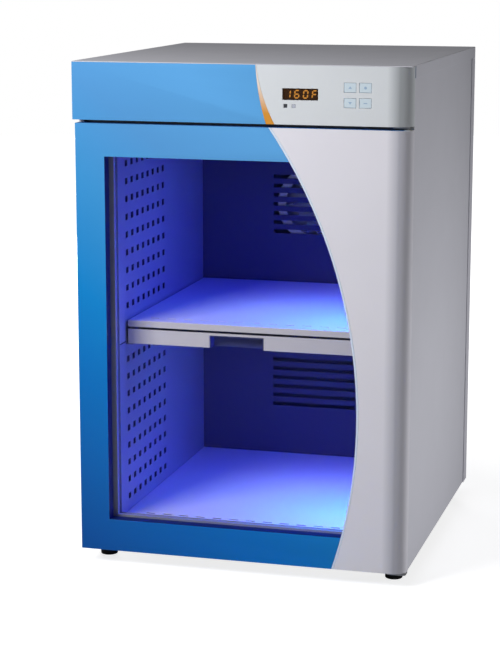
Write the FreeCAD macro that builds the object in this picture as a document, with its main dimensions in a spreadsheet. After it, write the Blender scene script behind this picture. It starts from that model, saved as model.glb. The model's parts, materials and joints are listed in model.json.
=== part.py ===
import FreeCAD, Part
import math
import os
import re

import Sketcher

# Blanket warming cabinet for a counter top.
# X runs to the right, Y to the back and Z up. The origin is on the surface the feet stand on,
# under the middle of the case. Lengths are in millimetres.

SIZES = {
    # case, from the underside of the base to the top of the cover
    "casing_width": 456,
    "casing_depth": 500,
    "casing_height": 668,
    "sheet_gauge": 1.2,
    "cover_skirt": 16.5,
    "rear_skirt": 26,
    "rear_recess": 4,
    "return_width": 6,
    "rear_fold_width": 16,
    "panel_gap": 0.3,
    "pan_wall": 25,
    "pan_front_wall": 9,
    "face_flange": 10,
    "face_flange_rise": 30,
    "rail_lip": 12,
    "control_gap_left": 150,
    "control_gap_right": 38,
    "control_gap_rise": 18,
    # feet
    "foot_height": 20,
    "foot_radius": 12,
    "foot_stem_radius": 4,
    "foot_stem_length": 4.2,
    "foot_inset_side": 25,
    "foot_inset_front": 52,
    "foot_inset_back": 45,
    # front mouldings: the fascia and the door under it
    "front_depth": 20,
    "door_standoff": 2.5,
    "corner_radius": 18,
    "corner_relief": 6,
    "moulding_wall": 3,
    "rim_width": 16,
    "skin_thickness": 1.5,
    "skin_clearance": 0.1,
    "fascia_height": 77,
    "door_side_gap": 3,
    "door_lift": 0.8,
    "fascia_gap": 4.5,
    # the door's window and the arc that bounds it
    "window_frame_side": 41,
    "window_frame_top": 43.5,
    "window_frame_bottom": 45,
    "swoosh_radius": 670,
    "swoosh_inset": 65,
    "swoosh_centre_height": 205,
    "bead_width": 3,
    "pane_thickness": 3,
    "pane_gap": 7,
    "spacer_width": 8,
    "pane_lap": 4,
    "inner_frame_gauge": 1,
    "inner_frame_step": 5,
    "seal_gap": 3,
    "seal_clearance": 0.3,
    "seal_offset": 2,
    "seal_width": 7,
    "view_bottom": 7,
    "view_top": 15,
    # hinge, grip and catch
    "hinge_inset_side": 7,
    "hinge_inset_front": 14,
    "pin_radius": 2.5,
    "pin_reach": 10,
    "running_clearance": 0.05,
    "fixed_clearance": 0.02,
    "bush_radius": 4,
    "bush_length": 12,
    "bush_flange_radius": 6,
    "bush_flange_thickness": 0.7,
    "bracket_thickness": 2.5,
    "bracket_inner": 25,
    "bracket_taper": 18,
    "bracket_nose": 7,
    "bracket_side": 6,
    "bracket_round": 4,
    "bracket_screw_near": 9.5,
    "bracket_screw_pitch": 10.5,
    "grip_height": 300,
    "grip_length": 90,
    "grip_depth": 13,
    "grip_lip": 8,
    "catch_length": 30,
    "catch_width": 10,
    "catch_gap": 3,
    "magnet_thickness": 2.4,
    "strike_thickness": 0.8,
    "catch_low": 130,
    "catch_high": 430,
    # fascia: border of the off-white overlay, stripe, display and keys
    "overlay_inset_top": 204,
    "overlay_inset_bottom": 179.5,
    "overlay_edge_radius": 220,
    "stripe_top_width": 1,
    "stripe_bottom_width": 11.5,
    "stripe_edge_radius": 300,
    "display_inset": 169,
    "display_width": 47,
    "display_height": 15,
    "display_rise": 31.6,
    "display_lens": 2.8,
    "indicator_inset": 165,
    "indicator_pitch": 11,
    "indicator_rise": 24,
    "indicator_width": 4.6,
    "key_inset": 80.3,
    "key_pitch_across": 19.9,
    "key_pitch_up": 19.5,
    "key_rise": 29.3,
    "key_width": 16,
    "key_height": 12.5,
    "key_clearance": 0.3,
    "key_flange": 1.4,
    "key_set_back": 0.2,
    "key_travel": 0.6,
    "key_flange_thickness": 1.2,
    "switch_width": 6,
    "board_depth": 12,
    "board_thickness": 1.6,
    "board_margin_left": 14,
    "board_margin_right": 22,
    "board_rise": 10,
    "board_height": 56,
    "boss_width": 5,
    "boss_inset": 5,
    # chamber
    "chamber_inset": 50,
    "rear_space": 66.6,
    "ceiling_drop": 35,
    "chamber_floor_height": 40,
    "liner_gauge": 1,
    "tray_depth": 12,
    "tray_gap": 0.3,
    "duct_width": 24,
    "plenum_depth": 30,
    "joint_gap": 1.8,
    "joint_rise": 1.5,
    # perforation of the side walls
    "hole_pitch_back": 23,
    "hole_pitch_up": 24.5,
    "hole_length": 10,
    "hole_height": 8.5,
    "perforated_length": 170,
    "hole_first_back": 30,
    "hole_margin_lower": 15.5,
    "hole_margin_upper": 44,
    # shelf between the compartments
    "shelf_height": 272,
    "shelf_thickness": 32.5,
    "shelf_set_back": 26,
    "shelf_rear_gap": 6,
    "shelf_side_gap": 3,
    "shelf_lip": 9,
    "shelf_groove": 3,
    "shelf_pull_left": 58,
    "shelf_pull_width": 76,
    "shelf_pull_height": 17,
    "shelf_pull_depth": 16,
    "shelf_pull_wall": 1.5,
    "ledge_width": 10,
    # row of slots at the front of the shelf and of the floor tray
    "slot_pitch": 24,
    "slot_length": 13,
    "slot_width": 4,
    "slot_set_back": 22,
    # light bars
    "light_length": 300,
    "light_width": 18,
    "light_height": 12,
    "light_lens": 3,
    "light_set_back": 40,
    # air: grilles, fan, heater, sensors
    "grille_width": 130,
    "grille_slot": 6,
    "grille_pitch": 14,
    "grille_rows": 7,
    "fan_drop": 4,
    "lower_grille_height": 160,
    "impeller_radius": 60,
    "impeller_eye_radius": 36,
    "impeller_clearance": 4,
    "impeller_plate": 1.5,
    "blade_count": 12,
    "blade_thickness": 1.5,
    "blade_sweep": 17,
    "hub_radius": 10,
    "shaft_radius": 4,
    "shaft_hole_radius": 8,
    "motor_radius": 36,
    "motor_length": 30,
    "shaft_overlap": 18,
    "heater_radius": 82,
    "heater_width": 6,
    "heater_depth": 9,
    "heater_leg_offset": 15,
    "probe_radius": 3,
    "probe_reach": 20,
    "probe_offset": 120,
    "probe_rise": 70,
    "thermostat_radius": 12,
    "thermostat_height": 8,
    "lug_length": 7,
    "lug_width": 16,
    "lug_thickness": 0.8,
    # insulation
    "side_insulation_gap": 1,
    "rear_insulation_thickness": 12,
    "top_insulation_thickness": 24,
    "notch_margin": 2,
    # electrical bay over the chamber
    "deck_edge": 10,
    "supply_left": 140,
    "supply_near": 60,
    "supply_slot_inset": 12,
    "supply_slot_width": 4,
    "supply_slot_pitch": 14,
    "supply_slot_count": 7,
    "supply_width": 110,
    "supply_depth": 90,
    "supply_height": 42,
    "terminal_left": 20,
    "terminal_near": 90,
    "terminal_cup": 7,
    "terminal_rim": 2,
    "terminal_width": 70,
    "terminal_depth": 24,
    "terminal_height": 20,
    "terminal_ways": 6,
    "inlet_inset": 78,
    "inlet_drop": 44,
    "inlet_width": 48,
    "inlet_flange_height": 28,
    "inlet_flange": 2.6,
    "socket_width": 24.6,
    "socket_height": 17,
    "socket_depth": 16,
    "socket_wall": 2,
    "contact_width": 2,
    "contact_height": 4,
    "contact_set_back": 5,
    "contact_spread": 7,
    "contact_step": 2,
    # vents in the rear cover and its screws
    "vent_pitch": 11,
    "vent_width": 4,
    "vent_height": 44,
    "vent_count": 9,
    "screw_radius": 2,
    "screw_head_radius": 3.6,
    "screw_head_height": 1.7,
    "screw_inset": 10,
    "screw_reach": 6,
}

doc = FreeCAD.newDocument("warming_cabinet")
sheet = doc.addObject("Spreadsheet::Sheet", "size")
for row, (name, number) in enumerate(SIZES.items(), 1):
    sheet.set(f"A{row}", name)
    sheet.set(f"B{row}", str(number))
    sheet.setAlias(f"B{row}", name)
doc.recompute()

# Planes of the cabinet, as formulas in the sheet's names.
LEFT = "(-casing_width / 2)"
RIGHT = "(casing_width / 2)"
FRONT = "(-casing_depth / 2)"
BACK = "(casing_depth / 2)"
BASE = "foot_height"
TOP = "(foot_height + casing_height)"
COVER_UNDER = f"({TOP} - sheet_gauge)"
COVER_EDGE = f"({TOP} - cover_skirt)"
SIDE_OUTSIDE = "(casing_width / 2 - sheet_gauge)"
SIDE_INSIDE = "(casing_width / 2 - 2 * sheet_gauge)"
REAR_PLATE = f"({BACK} - rear_recess - sheet_gauge)"
DOOR_BACK = f"({FRONT} + front_depth)"
CASING_FRONT = f"({DOOR_BACK} + door_standoff)"
SEAT = f"({FRONT} + skin_thickness + skin_clearance)"
WALL_BACK = f"({SEAT} + moulding_wall)"
DOOR_BOTTOM = "(foot_height + door_lift)"
FASCIA_BOTTOM = f"({TOP} - fascia_height)"
DOOR_TOP = f"({FASCIA_BOTTOM} - fascia_gap)"
DOOR_LEFT = f"({LEFT} + door_side_gap)"
CORNER_START = f"({RIGHT} - corner_radius)"
SOLID_END = f"({CORNER_START} - 1)"
GLASS_SEAT = f"({DOOR_BACK} - pane_thickness)"
INNER_PANE = f"({DOOR_BACK} + pane_gap)"
FRAME_BACK = f"({INNER_PANE} + pane_thickness + inner_frame_gauge)"
FACE = f"({FRAME_BACK} + seal_gap)"
CHAMBER_FRONT = f"({FACE} + sheet_gauge)"
CHAMBER_BACK = f"({REAR_PLATE} - rear_space)"
PLENUM_FRONT = f"({CHAMBER_BACK} + liner_gauge)"
PLENUM_BACK = f"({PLENUM_FRONT} + plenum_depth)"
LINER_BACK = f"({PLENUM_BACK} + liner_gauge)"
FLOOR = "(foot_height + chamber_floor_height)"
CEILING = f"({FASCIA_BOTTOM} - ceiling_drop)"
LINER_FLOOR = f"({FLOOR} - tray_depth)"
WALL = "(casing_width / 2 - chamber_inset)"
WALL_OUTSIDE = f"({WALL} + liner_gauge)"
DUCT = f"({WALL_OUTSIDE} + duct_width)"
LINER_OUTSIDE = f"({DUCT} + liner_gauge)"
SHELF_TOP = f"({FLOOR} + shelf_height)"
SHELF_UNDER = f"({SHELF_TOP} - shelf_thickness)"
SHELF_FRONT = f"({CHAMBER_FRONT} + shelf_set_back)"
SHELF_BACK = f"({CHAMBER_BACK} - shelf_rear_gap)"
SHELF_SIDE = f"({WALL} - shelf_side_gap)"
WINDOW_LEFT = f"({DOOR_LEFT} + window_frame_side)"
WINDOW_BOTTOM = "(foot_height + window_frame_bottom)"
WINDOW_TOP = f"({DOOR_TOP} - window_frame_top)"
WINDOW_RADIUS = "(swoosh_radius - bead_width)"
HINGE_X = f"({RIGHT} - hinge_inset_side)"
HINGE_Y = f"({FRONT} + hinge_inset_front)"
FAN_Z = f"(({SHELF_TOP} + {CEILING}) / 2 - fan_drop)"
INLET_X = "(inlet_inset - casing_width / 2)"
INLET_Z = f"({TOP} - inlet_drop)"
BAY_FLOOR = f"({CEILING} + liner_gauge + top_insulation_thickness)"
BAY_DECK = f"({BAY_FLOOR} + sheet_gauge)"
DISPLAY_LEFT = f"({RIGHT} - display_inset)"
INDICATOR_LEFT = f"({RIGHT} - indicator_inset)"
KEY_LEFT = f"({RIGHT} - key_inset)"
BOARD_LEFT = f"({DISPLAY_LEFT} - board_margin_left)"
BOARD_RIGHT = f"({KEY_LEFT} + key_pitch_across + board_margin_right)"
BOARD_BOTTOM = f"({FASCIA_BOTTOM} + board_rise)"
BOARD_TOP = f"({BOARD_BOTTOM} + board_height)"
KEY_SHOULDER = f"({WALL_BACK} + key_set_back)"
KEY_BACK = f"({KEY_SHOULDER} + key_flange_thickness)"
IMPELLER_FRONT = f"({PLENUM_FRONT} + impeller_clearance)"
IMPELLER_BACK = f"({PLENUM_BACK} - impeller_clearance)"
SCREW_HOLE = "screw_radius + running_clearance"
THERMOSTAT = ("probe_offset", "(foot_height + lower_grille_height)")
OVERLAY_BOTTOM = f"({RIGHT} - overlay_inset_bottom)"
OVERLAY_TOP = f"({RIGHT} - overlay_inset_top)"
OVERLAY_CURVE = (OVERLAY_BOTTOM, OVERLAY_TOP, "overlay_edge_radius")
BLUE_CURVE = (f"{OVERLAY_BOTTOM} - stripe_bottom_width", f"{OVERLAY_TOP} - stripe_top_width",
              "stripe_edge_radius")

VIEWS = {"front": ("XZ_Plane", -1), "plan": ("XY_Plane", 1), "side": ("YZ_Plane", 1)}
NODES = []
CUTS = []


def bind(formula):
    """The formula with each size's name pointed at its cell in the sheet."""
    return re.sub(r"[a-z_]+", lambda word: f"size.{word[0]}" if word[0] in SIZES else word[0], formula)


def value(formula):
    """What a formula comes to with the sheet's present sizes."""
    return float(sheet.evalExpression(bind(formula)))


def keep(thing):
    """Marks a finished sub-part, whose Label names its file."""
    NODES.append(thing)
    return thing


def block(name, x, y, z):
    """A plain block between two planes along each axis."""
    thing = doc.addObject("Part::Box", name)
    for side, axis, (low, high) in zip(("Length", "Width", "Height"), "xyz", (x, y, z)):
        thing.setExpression(side, bind(f"({high}) - ({low})"))
        thing.setExpression(f"Placement.Base.{axis}", bind(low))
    return thing


def rod(name, axis, centre, span, radius, sides=0):
    """A round or many-sided bar along one axis. centre is its place on the other two, in X, Y, Z order."""
    thing = doc.addObject("Part::Prism" if sides else "Part::Cylinder", name)
    if sides:
        thing.Polygon = sides
    turns = {"x": ((0, 1, 0), 90), "y": ((1, 0, 0), -90), "z": ((0, 0, 1), 0)}
    direction, angle = turns[axis]
    thing.Placement = FreeCAD.Placement(FreeCAD.Vector(), FreeCAD.Rotation(FreeCAD.Vector(*direction), angle))
    places = dict(zip([other for other in "xyz" if other != axis], centre))
    places[axis] = span[0]
    for letter, formula in places.items():
        thing.setExpression(f"Placement.Base.{letter}", bind(formula))
    thing.setExpression("Circumradius" if sides else "Radius", bind(radius))
    thing.setExpression("Height", bind(f"({span[1]}) - ({span[0]})"))
    return thing


def fuse(name, *things):
    whole = doc.addObject("Part::MultiFuse", name)
    whole.Shapes = list(things)
    return whole


def cut(name, base, *tools):
    whole = doc.addObject("Part::Cut", name)
    whole.Base = base
    whole.Tool = tools[0] if len(tools) == 1 else fuse(f"{name}_tools", *tools)
    return whole


def group(name, *things):
    """Identical separate solids that share one node."""
    whole = doc.addObject("Part::Compound", name)
    whole.Links = list(things)
    return whole


def body(name):
    return doc.addObject("PartDesign::Body", name)


def origin_part(owner, role):
    return next(part for part in owner.Origin.OriginFeatures if part.Role == role)


def fix_point(sketch, side, end, corner):
    """Ties one point of a sketch to its two formulas."""
    for kind, formula in zip(("DistanceX", "DistanceY"), corner):
        rule = Sketcher.Constraint(kind, -1, 1, side, end, value(formula))
        sketch.setExpression(f"Constraints[{sketch.addConstraint(rule)}]", bind(formula))


def fix_radius(sketch, side, formula):
    rule = Sketcher.Constraint("Radius", side, value(formula))
    sketch.setExpression(f"Constraints[{sketch.addConstraint(rule)}]", bind(formula))


def circle(sketch, u, v, radius):
    centre = FreeCAD.Vector(value(u), value(v), 0)
    side = sketch.addGeometry(Part.Circle(centre, FreeCAD.Vector(0, 0, 1), value(radius)))
    fix_point(sketch, side, 3, (u, v))
    fix_radius(sketch, side, radius)


def arc_side(sketch, start, end, radius, hand):
    """An arc from start to end whose centre lies on the given hand. Returns it with its end numbers."""
    chord = end - start
    middle = (start + end) / 2
    inward = FreeCAD.Vector(-chord.y, chord.x, 0).normalize()
    reach = math.sqrt(radius ** 2 - (chord.Length / 2) ** 2)
    centre = middle + inward * (reach if hand == "left" else -reach)
    first, last = (start, end) if hand == "left" else (end, start)
    angles = [math.atan2(point.y - centre.y, point.x - centre.x) for point in (first, last)]
    if angles[1] < angles[0]:
        angles[1] += 2 * math.pi
    arc = Part.ArcOfCircle(Part.Circle(centre, FreeCAD.Vector(0, 0, 1), radius), *angles)
    side = sketch.addGeometry(arc)
    return (side, 1, 2) if hand == "left" else (side, 2, 1)


def loop(sketch, corners):
    """A closed outline. A corner is (u, v), or (u, v, radius, hand) where an arc leaves it."""
    points = [FreeCAD.Vector(value(corner[0]), value(corner[1]), 0) for corner in corners]
    sides = []
    for index, corner in enumerate(corners):
        start, end = points[index], points[(index + 1) % len(points)]
        if len(corner) == 2:
            sides.append((sketch.addGeometry(Part.LineSegment(start, end)), 1, 2))
        else:
            sides.append(arc_side(sketch, start, end, value(corner[2]), corner[3]))
    for index, (side, _, end) in enumerate(sides):
        following, beginning, _ = sides[(index + 1) % len(sides)]
        sketch.addConstraint(Sketcher.Constraint("Coincident", side, end, following, beginning))
    for (side, beginning, _), corner in zip(sides, corners):
        fix_point(sketch, side, beginning, corner[:2])
        if len(corner) > 2:
            fix_radius(sketch, side, corner[2])


def rectangle(u, v):
    """Corners of a rectangle between two levels each way."""
    return [(u[0], v[0]), (u[1], v[0]), (u[1], v[1]), (u[0], v[1])]


def centred(u, v, wide, tall):
    """Corners of a rectangle about its middle."""
    return [(f"{u} {across} ({wide}) / 2", f"{v} {up} ({tall}) / 2")
            for across, up in (("-", "-"), ("+", "-"), ("+", "+"), ("-", "+"))]


def polygon(u, v, radius, sides):
    """Corners of a regular polygon whose first corner points along the first axis."""
    turns = [math.tau * index / sides for index in range(sides)]
    return [(f"{u} + {math.cos(turn):.6f} * ({radius})", f"{v} + {math.sin(turn):.6f} * ({radius})")
            for turn in turns]


def hexagon(u, v, radius):
    """Corners of a hexagon, for a screw, a foot's stem or a bush."""
    return polygon(u, v, radius, 6)


def draw(owner, view, level, loops):
    """A sketch on a plane of the body: a front view at a depth, a plan at a height or a side view."""
    plane, sense = VIEWS[view]
    sketch = owner.newObject("Sketcher::SketchObject", f"{owner.Name}_{view}")
    sketch.AttachmentSupport = (origin_part(owner, plane), [""])
    sketch.MapMode = "FlatFace"
    sketch.setExpression("AttachmentOffset.Base.z", bind(f"{sense} * ({level})"))
    for outline in loops:
        if isinstance(outline, tuple):
            circle(sketch, *outline)
        else:
            loop(sketch, outline)
    return sketch


def pad(owner, view, span, *loops):
    """Adds material between two levels. A loop is a list of corners, or (u, v, radius) for a circle."""
    profile = draw(owner, view, span[0], loops)
    feature = owner.newObject("PartDesign::Pad", f"{owner.Name}_pad")
    feature.Profile = profile
    feature.setExpression("Length", bind(f"({span[1]}) - ({span[0]})"))
    feature.Reversed = view == "front"
    return feature


def pocket(owner, view, span, *loops):
    """Removes material between two levels."""
    profile = draw(owner, view, span[0], loops)
    feature = owner.newObject("PartDesign::Pocket", f"{owner.Name}_pocket")
    feature.Profile = profile
    feature.setExpression("Length", bind(f"({span[1]}) - ({span[0]})"))
    feature.Reversed = view != "front"
    CUTS.append(feature)
    return feature


def row_of(owner, feature, axis, pitch, count):
    """Repeats a feature along one axis of the body."""
    pattern = owner.newObject("PartDesign::LinearPattern", f"{owner.Name}_row")
    pattern.Originals = [feature]
    pattern.Direction = (origin_part(owner, axis), [""])
    pattern.setExpression("Length", bind(f"({pitch}) * ({count} - 1)"))
    pattern.setExpression("Occurrences", bind(count))
    owner.Tip = pattern
    return pattern


def ring_of(owner, feature, axis, count):
    """Repeats a feature all round one axis of the body."""
    pattern = owner.newObject("PartDesign::PolarPattern", f"{owner.Name}_ring")
    pattern.Originals = [feature]
    pattern.Axis = (origin_part(owner, axis), [""])
    pattern.Angle = 360
    pattern.setExpression("Occurrences", bind(count))
    owner.Tip = pattern
    return pattern


def grid_of(owner, feature, *rows):
    """Repeats a feature along two axes. Each row is (axis, pitch, count)."""
    grid = owner.newObject("PartDesign::MultiTransform", f"{owner.Name}_grid")
    steps = []
    for axis, pitch, count in rows:
        step = owner.newObject("PartDesign::LinearPattern", f"{owner.Name}_step")
        step.Direction = (origin_part(owner, axis), [""])
        step.setExpression("Length", bind(f"({pitch}) * ({count} - 1)"))
        step.setExpression("Occurrences", bind(count))
        steps.append(step)
    grid.Originals = [feature]
    grid.Transformations = steps
    owner.Tip = grid
    return grid


def fillet(owner, radius, wanted):
    """Rounds the edges whose bounding box passes the test."""
    doc.recompute()
    base = owner.Tip
    names = [f"Edge{index}" for index, edge in enumerate(base.Shape.Edges, 1) if wanted(edge.BoundBox)]
    feature = owner.newObject("PartDesign::Fillet", f"{owner.Name}_fillet")
    feature.Base = (base, names)
    feature.setExpression("Radius", bind(radius))
    return feature


def lies(low, high, formula):
    """True where an edge's span along one axis is the single level that the formula gives."""
    level = value(formula)
    return abs(low - level) < 1e-4 and abs(high - level) < 1e-4


# ---------------------------------------------------------------- case

def base_pan():
    """Folded tray that carries everything: floor, low front wall, taller side and rear walls."""
    pan = body("base_pan")
    side = f"({SIDE_INSIDE} - panel_gap)"
    front = f"({CASING_FRONT} + sheet_gauge + panel_gap)"
    rear = f"({REAR_PLATE} - sheet_gauge - 2 * panel_gap)"
    walls = f"({BASE} + pan_wall)"
    pad(pan, "plan", (BASE, walls), rectangle((f"-{side}", side), (front, rear)))
    inside = rectangle((f"-{side} + sheet_gauge", f"{side} - sheet_gauge"),
                       (f"{front} + sheet_gauge", f"{rear} - sheet_gauge"))
    pocket(pan, "plan", (f"{BASE} + sheet_gauge", walls), inside)
    opening = rectangle((f"-{side} + sheet_gauge", f"{side} - sheet_gauge"),
                        (front, f"{front} + sheet_gauge"))
    pocket(pan, "plan", (f"{BASE} + pan_front_wall", walls), opening)
    stems = [hexagon(x, y, "foot_stem_radius + running_clearance") for x, y in foot_places()]
    screws = [hexagon(x, y, SCREW_HOLE) for x, y in hinge_screw_places()]
    pocket(pan, "plan", (BASE, f"{BASE} + sheet_gauge"), *stems, *screws)
    lowest = [hexagon(*rear_screw_places(sense)[0], SCREW_HOLE) for sense in ("-", "")]
    pocket(pan, "front", (f"{rear} - sheet_gauge", rear), *lowest)
    keep(pan)


def foot_places():
    across = f"({RIGHT} - foot_inset_side)"
    rows = (f"({FRONT} + foot_inset_front)", f"({BACK} - foot_inset_back)")
    return [(f"{sense}{across}", y) for y in rows for sense in ("-", "")]


def rubber_feet():
    """Four twelve-sided rubber feet, each with a six-sided stem pushed through the base pan."""
    feet = []
    for x, y in foot_places():
        pad_part = rod("foot_pad", "z", (x, y), ("0", BASE), "foot_radius", 12)
        stem = rod("foot_stem", "z", (x, y), (BASE, f"{BASE} + foot_stem_length"), "foot_stem_radius", 6)
        feet.append(fuse("foot", pad_part, stem))
    keep(group("rubber_feet", *feet))


def side_panel(name, sense):
    """Side with a narrow fold behind the front mouldings and a wide one for the rear cover's screws."""
    panel = body(name)
    outside, inside = f"{sense}{SIDE_OUTSIDE}", f"{sense}{SIDE_INSIDE}"
    fold = f"{sense}({SIDE_INSIDE} - return_width)"
    wide_fold = f"{sense}({SIDE_INSIDE} - rear_fold_width)"
    rear = f"({REAR_PLATE} - panel_gap)"
    pad(panel, "plan", (BASE, COVER_UNDER),
        [(outside, CASING_FRONT), (fold, CASING_FRONT), (fold, f"{CASING_FRONT} + sheet_gauge"),
         (inside, f"{CASING_FRONT} + sheet_gauge"), (inside, f"{rear} - sheet_gauge"),
         (wide_fold, f"{rear} - sheet_gauge"), (wide_fold, rear), (outside, rear)])
    holes = [hexagon(*place, SCREW_HOLE) for place in rear_screw_places(sense)]
    pocket(panel, "front", (f"{rear} - sheet_gauge", rear), *holes)
    keep(panel)


def top_cover():
    """Pan lid: a plate over the whole top and skirts down the sides and the back."""
    cover = body("top_cover")
    pad(cover, "plan", (COVER_EDGE, TOP), rectangle((LEFT, RIGHT), (FRONT, BACK)))
    inside = rectangle((f"{LEFT} + sheet_gauge", f"{RIGHT} - sheet_gauge"),
                       (f"{FRONT} - 1", f"{BACK} - sheet_gauge"))
    pocket(cover, "plan", (COVER_EDGE, COVER_UNDER), inside)
    over_fascia = rectangle((f"{LEFT} - 1", f"{RIGHT} + 1"), (f"{FRONT} - 1", f"{CASING_FRONT} + panel_gap"))
    pocket(cover, "plan", (COVER_EDGE, COVER_UNDER), over_fascia)
    fillet(cover, "sheet_gauge * 0.75", lambda box: lies(box.ZMin, box.ZMax, TOP))
    keep(cover)


def rear_cover():
    """Rear pan: a plate set in behind the skirts' edges, with two fields of upright vents."""
    cover = body("rear_cover")
    top = f"({COVER_EDGE} - 0.5)"
    pad(cover, "plan", (BASE, top),
        [(LEFT, f"{BACK} - rear_skirt"), (f"{LEFT} + sheet_gauge", f"{BACK} - rear_skirt"),
         (f"{LEFT} + sheet_gauge", REAR_PLATE), (f"{RIGHT} - sheet_gauge", REAR_PLATE),
         (f"{RIGHT} - sheet_gauge", f"{BACK} - rear_skirt"), (RIGHT, f"{BACK} - rear_skirt"),
         (RIGHT, BACK), (f"{RIGHT} - sheet_gauge", BACK),
         (f"{RIGHT} - sheet_gauge", f"{REAR_PLATE} + sheet_gauge"),
         (f"{LEFT} + sheet_gauge", f"{REAR_PLATE} + sheet_gauge"),
         (f"{LEFT} + sheet_gauge", BACK), (LEFT, BACK)])
    plate = (REAR_PLATE, f"{REAR_PLATE} + sheet_gauge")
    first = "(-vent_pitch * (vent_count - 1) / 2)"
    for middle in (FAN_Z, INLET_Z):
        slot = rectangle((f"{first} - vent_width / 2", f"{first} + vent_width / 2"),
                         (f"{middle} - vent_height / 2", f"{middle} + vent_height / 2"))
        row_of(cover, pocket(cover, "front", plate, slot), "X_Axis", "vent_pitch", "vent_count")
    pocket(cover, "front", plate,
           rectangle((f"{INLET_X} - socket_width / 2 - socket_wall - panel_gap",
                      f"{INLET_X} + socket_width / 2 + socket_wall + panel_gap"),
                     (f"{INLET_Z} - socket_height / 2 - socket_wall - panel_gap",
                      f"{INLET_Z} + socket_height / 2 + socket_wall + panel_gap")))
    places = rear_screw_places("-") + rear_screw_places("")
    pocket(cover, "front", plate, *[hexagon(*place, SCREW_HOLE) for place in places])
    keep(cover)


def rear_screw_places(sense):
    """Places of the rear cover's screws up one side of the case, the lowest first."""
    levels = (f"({BASE} + 1.5 * screw_inset)", f"({BASE} + casing_height / 2)",
              f"({COVER_EDGE} - screw_inset)")
    return [(f"{sense}({RIGHT} - screw_inset)", level) for level in levels]


def rear_screws():
    """Hexagon-head screws that hold the rear cover to the case."""
    screws = []
    outside = f"({REAR_PLATE} + sheet_gauge)"
    for place in rear_screw_places("-") + rear_screw_places(""):
        head = rod("screw_head", "y", place, (outside, f"{outside} + screw_head_height"),
                   "screw_head_radius", 6)
        shank = rod("screw_shank", "y", place, (f"{REAR_PLATE} - screw_reach", outside), "screw_radius", 6)
        screws.append(fuse("rear_screw", head, shank))
    keep(group("rear_screws", *screws))


def face_frame():
    """Pressed front of the case round the chamber, with a step forward over the door's top."""
    frame = body("face_frame")
    side = f"({SIDE_INSIDE} - panel_gap)"
    bottom, top = f"({BASE} + sheet_gauge)", COVER_UNDER
    pad(frame, "front", (FACE, CHAMBER_FRONT), rectangle((f"-{side}", side), (bottom, top)))
    for low, high in ((f"-{side}", f"-{side} + sheet_gauge"), (f"{side} - sheet_gauge", side)):
        pad(frame, "front", (CHAMBER_FRONT, f"{CHAMBER_FRONT} + face_flange"),
            rectangle((low, high), (f"{bottom} + face_flange_rise", top)))
    step = f"({SIDE_INSIDE} - return_width - panel_gap)"
    pad(frame, "plan", (FASCIA_BOTTOM, f"{FASCIA_BOTTOM} + sheet_gauge"),
        rectangle((f"-{step}", step), (CASING_FRONT, FACE)))
    pad(frame, "front", (CASING_FRONT, f"{CASING_FRONT} + sheet_gauge"),
        rectangle((f"-{step}", step), (FASCIA_BOTTOM, f"{FASCIA_BOTTOM} + rail_lip")))
    pocket(frame, "front", (FACE, CHAMBER_FRONT), rectangle((f"-{WALL}", WALL), (FLOOR, CEILING)))
    pocket(frame, "front", (FACE, CHAMBER_FRONT),
           rectangle(("-control_gap_left", f"{RIGHT} - control_gap_right"),
                     (f"{FASCIA_BOTTOM} + control_gap_rise", f"{COVER_UNDER} - rail_lip")))
    beside_pan = f"({side} - sheet_gauge - panel_gap)"
    over_pan = (f"{bottom} - 1", f"{BASE} + pan_wall + panel_gap")
    pocket(frame, "front", (FACE, CHAMBER_FRONT), rectangle((f"-{side} - 1", f"-{beside_pan}"), over_pan),
           rectangle((beside_pan, f"{side} + 1"), over_pan))
    holes = [hexagon(x, y, SCREW_HOLE) for x, y in hinge_screw_places()]
    pocket(frame, "plan", (FASCIA_BOTTOM, f"{FASCIA_BOTTOM} + sheet_gauge"), *holes)
    keep(frame)


# ---------------------------------------------------------------- fascia and controls

def moulding_section(owner, left, low, high, rear):
    """The front mouldings' plan: flat front, one large round at the right and a relieved rear corner."""
    inner = "(skin_thickness + skin_clearance)"
    pad(owner, "plan", (low, high),
        [(left, SEAT), (CORNER_START, SEAT, f"corner_radius - {inner}", "left"),
         (f"{RIGHT} - {inner}", f"{FRONT} + corner_radius"), rear[0], rear[1], (left, rear[1][1])])


def skin_section(owner, left, low, high):
    """The off-white skins' plan: a thin sheet along the front that wraps round the right corner."""
    pad(owner, "plan", (low, high),
        [(left, FRONT), (CORNER_START, FRONT, "corner_radius", "left"),
         (RIGHT, f"{FRONT} + corner_radius"), (f"{RIGHT} - skin_thickness", f"{FRONT} + corner_radius",
                                               "corner_radius - skin_thickness", "right"),
         (CORNER_START, f"{FRONT} + skin_thickness"), (left, f"{FRONT} + skin_thickness")])


def control_cutouts(clearance):
    """Openings for the display, the four keys and the two indicators."""
    left, rise = DISPLAY_LEFT, f"{FASCIA_BOTTOM} + display_rise"
    display = rectangle((left, f"{left} + display_width"), (rise, f"{rise} + display_height"))
    keys = [centred(x, z, "key_width", "key_height") for x, z in key_places()]
    indicators = [centred(x, z, f"indicator_width + 2 * {clearance}", f"indicator_width + 2 * {clearance}")
                  for x, z in indicator_places()]
    return [display, *keys, *indicators]


def key_places():
    return [(f"({KEY_LEFT} + {column} * key_pitch_across)",
             f"({FASCIA_BOTTOM} + key_rise + {row} * key_pitch_up)") for row in (1, 0) for column in (0, 1)]


def indicator_places():
    return [(f"({INDICATOR_LEFT} + {index} * indicator_pitch)", f"({FASCIA_BOTTOM} + indicator_rise)")
            for index in (0, 1)]


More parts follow.
